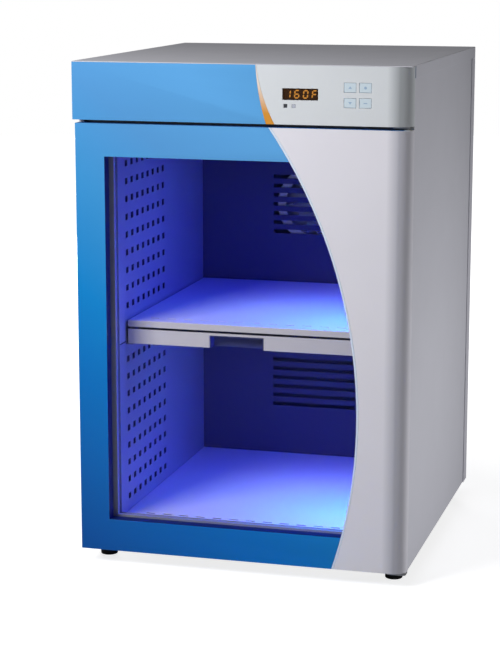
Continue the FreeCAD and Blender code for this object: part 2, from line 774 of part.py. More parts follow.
def fascia_shell():
    """Blue moulding behind the whole control fascia, hollow at the back, with bosses for the board."""
    shell = body("fascia_shell")
    inner = "(skin_thickness + skin_clearance)"
    moulding_section(shell, LEFT, FASCIA_BOTTOM, COVER_UNDER,
                     ((f"{RIGHT} - {inner}", CASING_FRONT), (f"{RIGHT} - {inner} - 0.5", CASING_FRONT)))
    bottom, top, radius = BLUE_CURVE
    pad(shell, "front", (FRONT, SEAT),
        [(LEFT, FASCIA_BOTTOM), (bottom, FASCIA_BOTTOM, radius, "right"), (top, COVER_UNDER),
         (LEFT, COVER_UNDER)])
    pocket(shell, "front", (WALL_BACK, CASING_FRONT),
           rectangle((f"{LEFT} + moulding_wall", SOLID_END),
                     (f"{FASCIA_BOTTOM} + moulding_wall", f"{COVER_UNDER} - moulding_wall")))
    bosses = [centred(x, z, "boss_width", "boss_width")
              for x in (f"{BOARD_LEFT} + boss_inset", f"{BOARD_RIGHT} - boss_inset")
              for z in (f"{BOARD_BOTTOM} + boss_inset", f"{BOARD_TOP} - boss_inset")]
    pad(shell, "front", (WALL_BACK, f"{FRONT} + board_depth"), *bosses)
    pocket(shell, "front", (FRONT, WALL_BACK), *control_cutouts("skin_clearance"))
    keep(shell)


def fascia_overlay():
    """Off-white skin over the right of the fascia, wrapped round its corner."""
    skin = body("fascia_overlay")
    left = f"({OVERLAY_TOP} - 4)"
    skin_section(skin, left, FASCIA_BOTTOM, COVER_UNDER)
    bottom, top, radius = OVERLAY_CURVE
    pocket(skin, "front", (f"{FRONT} - 1", f"{FRONT} + skin_thickness + 1"),
           [(f"{left} - 1", FASCIA_BOTTOM), (bottom, FASCIA_BOTTOM, radius, "right"), (top, COVER_UNDER),
            (f"{left} - 1", COVER_UNDER)])
    pocket(skin, "front", (FRONT, f"{FRONT} + skin_thickness"), *control_cutouts("skin_clearance"))
    keep(skin)


def fascia_stripe():
    """Slim tapered inlay between the blue and the off-white."""
    stripe = body("fascia_stripe")
    blue_bottom, blue_top, blue_radius = BLUE_CURVE
    bottom, top, radius = OVERLAY_CURVE
    low, high = FASCIA_BOTTOM, COVER_UNDER
    pad(stripe, "front", (FRONT, f"{FRONT} + skin_thickness"),
        [(f"{bottom} - skin_clearance", low, radius, "right"), (f"{top} - skin_clearance", high),
         (f"{blue_top} + skin_clearance", high, blue_radius, "left"),
         (f"{blue_bottom} + skin_clearance", low)])
    keep(stripe)


def controls():
    """Display, indicators, keys, their switches and the board that carries them."""
    left, rise = f"{DISPLAY_LEFT} + key_clearance", f"{FASCIA_BOTTOM} + display_rise + key_clearance"
    across = (left, f"{DISPLAY_LEFT} + display_width - key_clearance")
    up = (rise, f"{FASCIA_BOTTOM} + display_rise + display_height - key_clearance")
    board_front = f"({FRONT} + board_depth)"
    lens_back = f"({FRONT} + key_set_back + display_lens)"
    keep(block("display_window", across, (f"{FRONT} + key_set_back", lens_back), up))
    keep(block("display_module", across, (f"{lens_back} + key_set_back", board_front), up))
    half = "indicator_width / 2"
    lenses = [block("indicator_lens", (f"{x} - {half}", f"{x} + {half}"),
                    (f"{FRONT} + key_set_back", board_front), (f"{z} - {half}", f"{z} + {half}"))
              for x, z in indicator_places()]
    keep(group("indicator_lenses", *lenses))
    switches = []
    names = ("key_upper_left", "key_upper_right", "key_lower_left", "key_lower_right")
    for name, (x, z) in zip(names, key_places()):
        key = body(name)
        wide, tall = "key_width - 2 * key_clearance", "key_height - 2 * key_clearance"
        pad(key, "front", (f"{FRONT} + key_set_back", KEY_SHOULDER), centred(x, z, wide, tall))
        pad(key, "front", (KEY_SHOULDER, KEY_BACK),
            centred(x, z, f"{wide} + 2 * key_flange", f"{tall} + 2 * key_flange"))
        keep(key)
        switches.append(block("key_switch", (f"{x} - switch_width / 2", f"{x} + switch_width / 2"),
                              (f"{KEY_BACK} + key_travel + key_set_back", board_front),
                              (f"{z} - switch_width / 2", f"{z} + switch_width / 2")))
    keep(group("key_switches", *switches))
    keep(block("control_board", (BOARD_LEFT, BOARD_RIGHT), (board_front, f"{board_front} + board_thickness"),
               (BOARD_BOTTOM, BOARD_TOP)))


# ---------------------------------------------------------------- door

def arc_x(radius, level):
    """Where the arc of this radius about the swoosh's centre crosses a height."""
    rise = f"({level} - foot_height - swoosh_centre_height)"
    return f"({RIGHT} - swoosh_inset - swoosh_radius + sqrt(({radius}) ^ 2 - {rise} ^ 2))"


def left_of_arc(left, low, high, radius):
    """Region between an upright left edge and the arc."""
    return [(left, low), (arc_x(radius, low), low, radius, "left"), (arc_x(radius, high), high), (left, high)]


def door_shell():
    """Blue door moulding: a window bounded on the right by one arc, a rounded hinge edge, hollow behind."""
    shell = body("door_shell")
    relief = ((f"{RIGHT} - skin_thickness - skin_clearance", f"{FRONT} + corner_radius"),
              (f"{RIGHT} - corner_relief", DOOR_BACK))
    inner = "(skin_thickness + skin_clearance)"
    pad(shell, "plan", (DOOR_BOTTOM, DOOR_TOP),
        [(DOOR_LEFT, SEAT), (CORNER_START, SEAT, f"corner_radius - {inner}", "left"), relief[0], relief[1],
         (DOOR_LEFT, DOOR_BACK)])
    pad(shell, "front", (FRONT, SEAT), left_of_arc(DOOR_LEFT, DOOR_BOTTOM, DOOR_TOP, WINDOW_RADIUS))
    rim_left, rim_right = f"({DOOR_LEFT} + rim_width)", SOLID_END
    rim_low, rim_high = f"({DOOR_BOTTOM} + rim_width)", f"({DOOR_TOP} - rim_width)"
    rim = rectangle((rim_left, rim_right), (rim_low, rim_high))
    pocket(shell, "front", (GLASS_SEAT, DOOR_BACK), rim)
    reveal = left_of_arc(f"({WINDOW_LEFT} - moulding_wall)", f"({WINDOW_BOTTOM} - moulding_wall)",
                         f"({WINDOW_TOP} + moulding_wall)", "swoosh_radius")
    pocket(shell, "front", (WALL_BACK, GLASS_SEAT), rim, reveal)
    pocket(shell, "front", (FRONT, GLASS_SEAT),
           left_of_arc(WINDOW_LEFT, WINDOW_BOTTOM, WINDOW_TOP, WINDOW_RADIUS))
    bore = hexagon(HINGE_X, HINGE_Y, "bush_radius + running_clearance")
    pocket(shell, "plan", (DOOR_BOTTOM, f"{DOOR_BOTTOM} + bush_length"), bore)
    pocket(shell, "plan", (f"{DOOR_TOP} - bush_length", DOOR_TOP), bore)
    grip = "(foot_height + grip_height)"
    pocket(shell, "front", (f"{FRONT} + grip_lip", DOOR_BACK),
           rectangle((f"{DOOR_LEFT} - 1", f"{DOOR_LEFT} + grip_depth"),
                     (f"{grip} - grip_length / 2", f"{grip} + grip_length / 2")))
    fillet(shell, "moulding_wall / 2", lambda box: lies(box.XMin, box.XMax, DOOR_LEFT)
           and lies(box.YMin, box.YMax, FRONT))
    keep(shell)


def door_swoosh():
    """Off-white skin right of the arc, wrapped round the hinge edge."""
    skin = body("door_swoosh")
    radius = "(swoosh_radius + skin_clearance)"
    left = f"({arc_x(radius, DOOR_TOP)} - 4)"
    skin_section(skin, left, DOOR_BOTTOM, DOOR_TOP)
    pocket(skin, "front", (f"{FRONT} - 1", f"{FRONT} + skin_thickness + 1"),
           left_of_arc(f"({left} - 1)", DOOR_BOTTOM, DOOR_TOP, radius))
    keep(skin)


def swoosh_trim():
    """Slim bead that covers the joint along the arc."""
    trim = body("swoosh_trim")
    inner = f"({WINDOW_RADIUS} + skin_clearance)"
    pad(trim, "front", (FRONT, f"{FRONT} + skin_thickness"),
        [(arc_x(inner, DOOR_BOTTOM), DOOR_BOTTOM),
         (arc_x("swoosh_radius", DOOR_BOTTOM), DOOR_BOTTOM, "swoosh_radius", "left"),
         (arc_x("swoosh_radius", DOOR_TOP), DOOR_TOP), (arc_x(inner, DOOR_TOP), DOOR_TOP, inner, "right")])
    keep(trim)


def glazing():
    """Two panes and the hollow spacer frame between them."""
    low, high = f"({FLOOR} + view_bottom)", f"({CEILING} - view_top)"
    pane_side = f"({WALL} + spacer_width)"
    wide = f"({pane_side} + pane_lap)"
    keep(block("outer_glass", (f"-{wide}", wide), (GLASS_SEAT, DOOR_BACK),
               (f"{low} - spacer_width - pane_lap", f"{high} + spacer_width + pane_lap")))
    outside = rectangle((f"-{pane_side}", pane_side), (f"{low} - spacer_width", f"{high} + spacer_width"))
    spacer = body("glazing_spacer")
    pad(spacer, "front", (DOOR_BACK, INNER_PANE), outside, rectangle((f"-{WALL}", WALL), (low, high)))
    keep(spacer)
    keep(block("inner_glass", (f"-{pane_side}", pane_side), (INNER_PANE, f"{INNER_PANE} + pane_thickness"),
               (f"{low} - spacer_width", f"{high} + spacer_width")))


def door_inner_frame():
    """Pressed pan that closes the door's back: flange, step back into the case and view opening."""
    frame = body("door_inner_frame")
    left, right = f"({DOOR_LEFT} + rim_width + panel_gap)", f"({SOLID_END} - panel_gap)"
    low, high = f"({DOOR_BOTTOM} + rim_width + panel_gap)", f"({DOOR_TOP} - rim_width - panel_gap)"
    flange_front = f"({DOOR_BACK} - inner_frame_gauge)"
    pad(frame, "front", (flange_front, DOOR_BACK), rectangle((left, right), (low, high)))
    step = (f"({left} + inner_frame_step)", f"({right} - inner_frame_step)")
    rise = (f"({low} + inner_frame_step)", f"({high} - inner_frame_step)")
    pad(frame, "front", (DOOR_BACK, FRAME_BACK), rectangle(step, rise))
    gauge = "inner_frame_gauge"
    pocket(frame, "front", (flange_front, f"{FRAME_BACK} - {gauge}"),
           rectangle((f"{step[0]} + {gauge}", f"{step[1]} - {gauge}"),
                     (f"{rise[0]} + {gauge}", f"{rise[1]} - {gauge}")))
    pocket(frame, "front", (f"{FRAME_BACK} - {gauge}", FRAME_BACK),
           rectangle((f"-{WALL}", WALL), (f"{FLOOR} + view_bottom", f"{CEILING} - view_top")))
    keep(frame)


def door_gasket():
    """Soft seal that meets the face frame round the chamber."""
    seal = body("door_gasket")
    near, far = "seal_offset", "(seal_offset + seal_width)"
    pad(seal, "front", (FRAME_BACK, f"{FACE} - seal_clearance"),
        rectangle((f"-{WALL} - {far}", f"{WALL} + {far}"), (f"{FLOOR} - {far}", f"{CEILING} + {far}")),
        rectangle((f"-{WALL} - {near}", f"{WALL} + {near}"), (f"{FLOOR} - {near}", f"{CEILING} + {near}")))
    keep(seal)


def catches():
    """Magnets on the face frame and steel strikes inside the door's pan, left of the seal."""
    edge = f"({WALL} + seal_offset + seal_width + catch_gap)"
    across = (f"-{edge} - catch_width", f"-{edge}")
    magnets, strikes = [], []
    for height in ("catch_low", "catch_high"):
        up = (f"foot_height + {height}", f"foot_height + {height} + catch_length")
        magnets.append(block("catch_magnet", across, (f"{FACE} - magnet_thickness", FACE), up))
        inside = f"({FRAME_BACK} - inner_frame_gauge)"
        strikes.append(block("catch_strike", across, (f"{inside} - strike_thickness", inside), up))
    keep(group("catch_magnets", *magnets))
    keep(group("catch_strikes", *strikes))


def hinge_screw_places():
    """Places of the hinge brackets' screws in plan, behind the case's front fold."""
    depth = f"({CASING_FRONT} + 2 * sheet_gauge + screw_head_radius)"
    return [(f"({HINGE_X} - bracket_screw_near - {index} * bracket_screw_pitch)", depth) for index in (0, 1)]


def hinge():
    """Flat brackets, fixed pins, six-sided flanged bushes in the door and the brackets' screws."""
    case_edge = f"({SIDE_INSIDE} - return_width - 2 * panel_gap)"
    levels = ((f"{BASE} - bracket_thickness", BASE), (f"{FASCIA_BOTTOM} - bracket_thickness", FASCIA_BOTTOM))
    brackets, screws, pins, bushes = [], [], [], []
    rear, tip = f"{FACE} - panel_gap", f"({HINGE_Y} - bracket_nose)"
    for low, high in levels:
        plate = body("hinge_bracket")
        pad(plate, "plan", (low, high),
            [(f"{HINGE_X} - bracket_inner", rear), (f"{HINGE_X} - bracket_inner", HINGE_Y),
             (f"{HINGE_X} - bracket_taper", tip),
             (f"{HINGE_X} + bracket_side - bracket_round", tip, "bracket_round", "left"),
             (f"{HINGE_X} + bracket_side", f"{tip} + bracket_round"),
             (f"{HINGE_X} + bracket_side", f"{CASING_FRONT} - panel_gap"),
             (case_edge, f"{CASING_FRONT} - panel_gap"), (case_edge, rear)])
        pocket(plate, "plan", (low, high), (HINGE_X, HINGE_Y, "pin_radius + fixed_clearance"),
               *[hexagon(x, y, SCREW_HOLE) for x, y in hinge_screw_places()])
        brackets.append(plate)
        for place in hinge_screw_places():
            head = rod("hinge_screw_head", "z", place, (f"{low} - screw_head_height", low),
                       "screw_head_radius", 6)
            shank = rod("hinge_screw_shank", "z", place, (low, f"{high} + 2 * sheet_gauge"),
                        "screw_radius", 6)
            screws.append(fuse("hinge_screw", head, shank))
    axis = (HINGE_X, HINGE_Y)
    for low, high in ((f"{BASE} - bracket_thickness", f"{DOOR_BOTTOM} + pin_reach"),
                      (f"{DOOR_TOP} - pin_reach", FASCIA_BOTTOM)):
        pins.append(rod("hinge_pin", "z", axis, (low, high), "pin_radius"))
    sleeves = ((DOOR_BOTTOM, f"{DOOR_BOTTOM} + bush_length"), (f"{DOOR_TOP} - bush_length", DOOR_TOP))
    flanges = ((f"{DOOR_BOTTOM} - bush_flange_thickness", DOOR_BOTTOM),
               (DOOR_TOP, f"{DOOR_TOP} + bush_flange_thickness"))
    for sleeve, flange in zip(sleeves, flanges):
        bush = body("hinge_bush")
        bore = (*axis, "pin_radius + running_clearance")
        pad(bush, "plan", sleeve, hexagon(*axis, "bush_radius"), bore)
        pad(bush, "plan", flange, hexagon(*axis, "bush_flange_radius"), bore)
        bushes.append(bush)
    keep(group("hinge_brackets", *brackets))
    keep(group("hinge_screws", *screws))
    keep(group("hinge_pins", *pins))
    keep(group("hinge_bushes", *bushes))


# ---------------------------------------------------------------- chamber

def perforated_walls(name, low, high, first_row):
    """A facing pair of chamber side walls with a grid of air holes."""
    walls = []
    columns = "(floor(perforated_length / hole_pitch_back) + 1)"
    rows = f"(floor(({high} - {first_row} - hole_height - 8) / hole_pitch_up) + 1)"
    first = f"({CHAMBER_FRONT} + hole_first_back)"
    for span in ((f"-{WALL_OUTSIDE}", f"-{WALL}"), (WALL, WALL_OUTSIDE)):
        wall = body("side_wall")
        pad(wall, "side", span, rectangle((CHAMBER_FRONT, PLENUM_FRONT), (low, high)))
        hole = pocket(wall, "side", span,
                      rectangle((first, f"{first} + hole_length"), (first_row, f"{first_row} + hole_height")))
        grid_of(wall, hole, ("Y_Axis", "hole_pitch_back", columns), ("Z_Axis", "hole_pitch_up", rows))
        walls.append(wall)
    keep(group(name, *walls))


def chamber():
    """Side walls in two heights, back wall with air grilles, ceiling and the duct liner round them."""
    joint = f"({SHELF_UNDER} + joint_rise)"
    above = f"({joint} + joint_gap)"
    perforated_walls("lower_side_walls", LINER_FLOOR, joint, f"({FLOOR} + hole_margin_lower)")
    perforated_walls("upper_side_walls", above, CEILING, f"({above} + hole_margin_upper)")
    back = body("chamber_back_wall")
    side = f"({WALL} - tray_gap)"
    plate = (CHAMBER_BACK, PLENUM_FRONT)
    pad(back, "front", plate, rectangle((f"-{side}", side), (LINER_FLOOR, CEILING)))
    for middle in (FAN_Z, "(foot_height + lower_grille_height)"):
        first = f"({middle} - grille_pitch * (grille_rows - 1) / 2)"
        slot = rectangle(("-grille_width / 2", "grille_width / 2"),
                         (f"{first} - grille_slot / 2", f"{first} + grille_slot / 2"))
        row_of(back, pocket(back, "front", plate, slot), "Z_Axis", "grille_pitch", "grille_rows")
    keep(back)
    keep(block("chamber_ceiling", (f"-{LINER_OUTSIDE}", LINER_OUTSIDE), (CHAMBER_FRONT, LINER_BACK),
               (CEILING, f"{CEILING} + liner_gauge")))
    liner = body("duct_liner")
    pad(liner, "plan", (LINER_FLOOR, CEILING),
        [(f"-{LINER_OUTSIDE}", CHAMBER_FRONT), (f"-{DUCT}", CHAMBER_FRONT), (f"-{DUCT}", PLENUM_BACK),
         (DUCT, PLENUM_BACK), (DUCT, CHAMBER_FRONT), (LINER_OUTSIDE, CHAMBER_FRONT),
         (LINER_OUTSIDE, LINER_BACK), (f"-{LINER_OUTSIDE}", LINER_BACK)])
    pad(liner, "plan", (f"{LINER_FLOOR} - liner_gauge", LINER_FLOOR),
        rectangle((f"-{LINER_OUTSIDE}", LINER_OUTSIDE), (CHAMBER_FRONT, LINER_BACK)))
    pocket(liner, "front", (PLENUM_BACK, LINER_BACK), ("0", FAN_Z, "shaft_hole_radius"))
    keep(liner)


def slotted_tray(name, depth, levels, side):
    """An upturned tray, open below, with a row of slots behind its front edge."""
    tray = body(name)
    front, rear = depth
    low, high = levels
    pad(tray, "plan", (low, high), rectangle((f"-{side}", side), (front, rear)))
    pocket(tray, "plan", (low, f"{high} - liner_gauge"),
           rectangle((f"-{side} + liner_gauge", f"{side} - liner_gauge"),
                     (f"{front} + liner_gauge", f"{rear} - liner_gauge")))
    count = f"(2 * floor(({side} - slot_length) / slot_pitch) + 1)"
    first = f"(-slot_pitch * ({count} - 1) / 2)"
    slot = rectangle((f"{first} - slot_length / 2", f"{first} + slot_length / 2"),
                     (f"{front} + slot_set_back", f"{front} + slot_set_back + slot_width"))
    row_of(tray, pocket(tray, "plan", (f"{high} - liner_gauge", high), slot), "X_Axis", "slot_pitch", count)
    keep(tray)


def shelf_and_floor():
    """Floor tray, shelf tray, the shelf's pan with its pull, and the ledges it rests on."""
    slotted_tray("floor_tray", (f"{CHAMBER_FRONT} + tray_gap", f"{CHAMBER_BACK} - tray_gap"),
                 (LINER_FLOOR, FLOOR), f"({WALL} - tray_gap)")
    slotted_tray("shelf_tray", (SHELF_FRONT, SHELF_BACK),
                 (f"({SHELF_TOP} - shelf_lip)", SHELF_TOP), SHELF_SIDE)
    pan = body("shelf_pan")
    gauge = "liner_gauge"
    wall_top = f"({SHELF_TOP} - shelf_lip - shelf_groove)"
    pad(pan, "plan", (SHELF_UNDER, wall_top),
        rectangle((f"-{SHELF_SIDE}", SHELF_SIDE), (SHELF_FRONT, SHELF_BACK)))
    pocket(pan, "plan", (f"{SHELF_UNDER} + {gauge}", wall_top),
           rectangle((f"-{SHELF_SIDE} + {gauge}", f"{SHELF_SIDE} - {gauge}"),
                     (f"{SHELF_FRONT} + {gauge}", f"{SHELF_BACK} - {gauge}")))
    rail = f"({SHELF_SIDE} - 2 * {gauge} - tray_gap)"
    ends = (f"{SHELF_FRONT} + 3 * {gauge}", f"{SHELF_BACK} - 3 * {gauge}")
    for low, high in ((f"-{rail}", f"-{rail} + {gauge}"), (f"{rail} - {gauge}", rail)):
        pad(pan, "plan", (f"{SHELF_UNDER} + {gauge}", f"{SHELF_TOP} - {gauge}"), rectangle((low, high), ends))
    left = "(-shelf_pull_left)"
    right = "(-shelf_pull_left + shelf_pull_width)"
    pocket(pan, "front", (f"{SHELF_FRONT} - 1", f"{SHELF_FRONT} + shelf_pull_depth"),
           rectangle((left, right), (f"{SHELF_UNDER} - 1", f"{SHELF_UNDER} + shelf_pull_height")))
    keep(pan)
    pull = body("shelf_pull")
    gap, wall = "tray_gap", "shelf_pull_wall"
    front, back = f"({SHELF_FRONT} + {gap})", f"({SHELF_FRONT} + shelf_pull_depth - {gap})"
    low, high = SHELF_UNDER, f"({SHELF_UNDER} + shelf_pull_height - {gap})"
    pad(pull, "front", (front, back), rectangle((f"{left} + {gap}", f"{right} - {gap}"), (low, high)))
    pocket(pull, "front", (front, f"{back} - {wall}"),
           rectangle((f"{left} + {gap} + {wall}", f"{right} - {gap} - {wall}"), (low, f"{high} - {wall}")))
    keep(pull)
    ledges = []
    for sense in ("-", ""):
        ledge = body("shelf_ledge")
        inside = f"{sense}({WALL} - ledge_width)"
        thin = f"{sense}({WALL} - sheet_gauge)"
        wall_face = f"{sense}{WALL}"
        under = f"({SHELF_UNDER} - sheet_gauge)"
        pad(ledge, "front", (SHELF_FRONT, SHELF_BACK),
            [(inside, under), (wall_face, under), (wall_face, f"{SHELF_UNDER} + ledge_width"),
             (thin, f"{SHELF_UNDER} + ledge_width"), (thin, SHELF_UNDER), (inside, SHELF_UNDER)])
        ledges.append(ledge)
    keep(group("shelf_ledges", *ledges))


def light_bars():
    """One LED bar high on the right wall of each compartment: a housing and a lens under it."""
    inside = f"({WALL} - tray_gap)"
    depth = (f"{CHAMBER_FRONT} + light_set_back", f"{CHAMBER_FRONT} + light_set_back + light_length")
    housings, lenses = [], []
    for top in (f"({CEILING} - tray_gap)", f"({SHELF_UNDER} - sheet_gauge - tray_gap)"):
        under = f"({top} - light_height)"
        housings.append(block("light_housing", (f"{inside} - light_width", inside), depth, (under, top)))
        lenses.append(block("light_lens", (f"{inside} - light_width + 2", f"{inside} - 2"),
                            (f"{depth[0]} + 4", f"{depth[1]} - 4"), (f"{under} - light_lens", under)))
    keep(group("light_housings", *housings))
    keep(group("light_lenses", *lenses))


# ---------------------------------------------------------------- air and heat

def fan_impeller():
    """Open centrifugal wheel: back plate with a hub and flat blades that lean backwards."""
    wheel = body("fan_impeller")
    width = f"({IMPELLER_BACK} - {IMPELLER_FRONT})"
    bore = ("0", "0", "shaft_radius + fixed_clearance")
    pad(wheel, "front", (f"{width} - impeller_plate", width), ("0", "0", "impeller_radius"), bore)
    pad(wheel, "front", (f"{width} / 2", f"{width} - impeller_plate"), hexagon("0", "0", "hub_radius"), bore)
    rise = "(blade_sweep + blade_thickness)"
    tip = f"(sqrt(impeller_radius ^ 2 - {rise} ^ 2) - blade_thickness)"
    blade = [("impeller_eye_radius", "0"), (tip, "blade_sweep"), (tip, rise),
             ("impeller_eye_radius", "blade_thickness")]
    first = pad(wheel, "front", ("0", f"{width} - impeller_plate / 2"), blade)
    ring_of(wheel, first, "Y_Axis", "blade_count")
    wheel.setExpression("Placement.Base.y", bind(IMPELLER_FRONT))
    wheel.setExpression("Placement.Base.z", bind(FAN_Z))
    keep(wheel)


def fan_and_heat():
    """Motor and shaft behind the plenum, flat ring heater round the wheel, probe and thermostat."""
    centre = ("0", FAN_Z)
    shaft_front = f"(({IMPELLER_FRONT} + {IMPELLER_BACK}) / 2)"
    keep(rod("fan_shaft", "y", centre, (shaft_front, f"{LINER_BACK} + shaft_overlap"), "shaft_radius"))
    can = rod("motor_can", "y", centre, (LINER_BACK, f"{LINER_BACK} + motor_length"), "motor_radius", 16)
    keep(cut("fan_motor", can,
             rod("motor_bore", "y", centre, (LINER_BACK, f"{LINER_BACK} + shaft_overlap + 2 * panel_gap"),
                 "shaft_radius + running_clearance")))
    heater = body("ring_heater")
    middle = f"({PLENUM_FRONT} + plenum_depth / 2)"
    pad(heater, "front", (f"{middle} - heater_depth / 2", f"{middle} + heater_depth / 2"),
        polygon(*centre, "heater_radius + heater_width / 2", 16),
        polygon(*centre, "heater_radius - heater_width / 2", 16))
    low = f"{FAN_Z} - sqrt(heater_radius ^ 2 - heater_leg_offset ^ 2)"
    legs = [centred(f"{sense}heater_leg_offset", low, "heater_width / 2", "heater_width / 2")
            for sense in ("-", "")]
    pad(heater, "front", (middle, PLENUM_BACK), *legs)
    keep(heater)
    keep(rod("temperature_probe", "y", ("probe_offset", f"{FAN_Z} + probe_rise"),
             (f"{PLENUM_BACK} - probe_reach", PLENUM_BACK), "probe_radius"))
    back = f"({LINER_BACK} + thermostat_height)"
    keep(fuse("limit_thermostat",
              rod("thermostat_can", "y", THERMOSTAT, (LINER_BACK, back), "thermostat_radius"),
              block("thermostat_lugs",
                    (f"{THERMOSTAT[0]} - lug_width / 2", f"{THERMOSTAT[0]} + lug_width / 2"),
                    (back, f"{back} + lug_length"),
                    (f"{THERMOSTAT[1]} - lug_thickness / 2", f"{THERMOSTAT[1]} + lug_thickness / 2"))))


# ---------------------------------------------------------------- insulation and electrical bay

def insulation():
    """Glass-wool slabs between the duct liner and the case."""
    gap = "panel_gap"
    depth = (f"{CHAMBER_FRONT} + {gap}", LINER_BACK)
    low, high = f"({BASE} + sheet_gauge)", f"({LINER_FLOOR} - liner_gauge - {gap})"
    case_side = f"({SIDE_INSIDE} - 2 * sheet_gauge - side_insulation_gap)"
    slabs = [block("side_slab", span, depth, (f"{high} + {gap}", CEILING))
             for span in ((f"-{case_side}", f"-{LINER_OUTSIDE} - {gap}"),
                          (f"{LINER_OUTSIDE} + {gap}", case_side))]
    keep(group("side_insulation", *slabs))
    rear = (f"{LINER_BACK} + {gap}", f"{LINER_BACK} + {gap} + rear_insulation_thickness")
    slab = block("rear_slab", (f"-{LINER_OUTSIDE}", LINER_OUTSIDE), rear, (f"{high} + {gap}", CEILING))
    through = (f"{LINER_BACK}", f"{LINER_BACK} + 2 * rear_insulation_thickness")
    notches = []
    for x, z, reach in (("0", FAN_Z, "(motor_radius + notch_margin)"),
                        (*THERMOSTAT, "(thermostat_radius + notch_margin)")):
        notches.append(block("notch", (f"{x} - {reach}", f"{x} + {reach}"), through,
                             (f"{z} - {reach}", f"{z} + {reach}")))
    keep(cut("rear_insulation", slab, *notches))
    keep(block("top_insulation", (f"-{LINER_OUTSIDE}", LINER_OUTSIDE), depth,
               (f"{CEILING} + liner_gauge", BAY_FLOOR)))
    between_feet = f"({RIGHT} - foot_inset_side - foot_stem_radius - 1)"
    keep(block("base_insulation", (f"-{between_feet}", between_feet), depth, (low, f"{high} + {gap}")))


def electrical_bay():
    """Deck over the chamber with the power supply and terminals, and the inlet in the rear cover."""
    deck = body("service_tray")
    side = f"({SIDE_INSIDE} - 2 * sheet_gauge)"
    front, rear = f"({CHAMBER_FRONT} + sheet_gauge)", f"({REAR_PLATE} - rear_skirt)"
    pad(deck, "plan", (BAY_FLOOR, f"{BAY_FLOOR} + deck_edge"), rectangle((f"-{side}", side), (front, rear)))
    pocket(deck, "plan", (BAY_DECK, f"{BAY_FLOOR} + deck_edge"),
           rectangle((f"-{side} + sheet_gauge", f"{side} - sheet_gauge"), (f"{front} - 1", f"{rear} + 1")))
    keep(deck)
    supply = body("power_supply")
    left, near, top = "(-supply_left)", "supply_near", f"({BAY_DECK} + supply_height)"
    pad(supply, "plan", (BAY_DECK, top),
        rectangle((left, f"{left} + supply_width"), (near, f"{near} + supply_depth")))
    slot = rectangle((f"{left} + supply_slot_inset", f"{left} + supply_slot_inset + supply_slot_width"),
                     (f"{near} + supply_slot_inset", f"{near} + supply_depth - supply_slot_inset"))
    row_of(supply, pocket(supply, "plan", (f"{top} - supply_slot_width", top), slot), "X_Axis",
           "supply_slot_pitch", "supply_slot_count")
    keep(supply)
    terminals = body("terminal_block")
    left, near, top = "terminal_left", "terminal_near", f"({BAY_DECK} + terminal_height)"
    pad(terminals, "plan", (BAY_DECK, top),
        rectangle((left, f"{left} + terminal_width"), (near, f"{near} + terminal_depth")))
    way = "(terminal_width / terminal_ways)"
    cup = rectangle((f"{left} + terminal_rim", f"{left} + {way} - terminal_rim / 2"),
                    (f"{near} + terminal_rim", f"{near} + terminal_rim + terminal_cup"))
    row_of(terminals, pocket(terminals, "plan", (f"{top} - terminal_cup", top), cup), "X_Axis", way,
           "terminal_ways")
    keep(terminals)
    inlet = body("power_inlet")
    x, z = INLET_X, INLET_Z
    face = f"({REAR_PLATE} + sheet_gauge)"
    outside = f"({face} + inlet_flange)"
    inner = f"({outside} - socket_depth - socket_wall)"
    pad(inlet, "front", (face, outside), centred(x, z, "inlet_width", "inlet_flange_height"))
    pad(inlet, "front", (inner, face),
        centred(x, z, "socket_width + 2 * socket_wall", "socket_height + 2 * socket_wall"))
    pocket(inlet, "front", (f"{outside} - socket_depth", outside),
           centred(x, z, "socket_width", "socket_height"))
    contacts = [centred(f"({x} + {across} * contact_spread)", f"({z} + {up} * contact_step)",
                        "contact_width", "contact_height") for across, up in ((-1, -1), (0, 1), (1, -1))]
    pad(inlet, "front", (f"{outside} - socket_depth", f"{outside} - contact_set_back"), *contacts)
    keep(inlet)


# ---------------------------------------------------------------- assembly

base_pan()
rubber_feet()
side_panel("side_panel_left", "-")
side_panel("side_panel_right", "")
top_cover()
rear_cover()
rear_screws()
face_frame()
fascia_shell()
fascia_overlay()
fascia_stripe()
controls()
door_shell()
door_swoosh()
swoosh_trim()
glazing()
door_inner_frame()
door_gasket()
catches()
hinge()
chamber()
shelf_and_floor()
light_bars()
fan_impeller()
fan_and_heat()
insulation()
electrical_bay()
doc.recompute()

faults = [thing.Label for thing in doc.Objects if {"Invalid", "Error"} & set(thing.State)]
for feature in CUTS:
    if feature.BaseFeature.Shape.Volume - feature.Shape.Volume < 1e-3:
        faults.append(f"{feature.Label} cuts nothing")
for thing in NODES:
    if thing.Shape.isNull() or not thing.Shape.isValid():
        faults.append(f"{thing.Label} has no valid shape")
if faults:
    raise RuntimeError("; ".join(faults))

os.makedirs("parts", exist_ok=True)
for thing in NODES:
    thing.Shape.exportStep(f"parts/{thing.Label}.step")
print(len(NODES), "sub-parts written")
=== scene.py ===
import json
import math

import bmesh
import bpy
from mathutils import Matrix, Vector

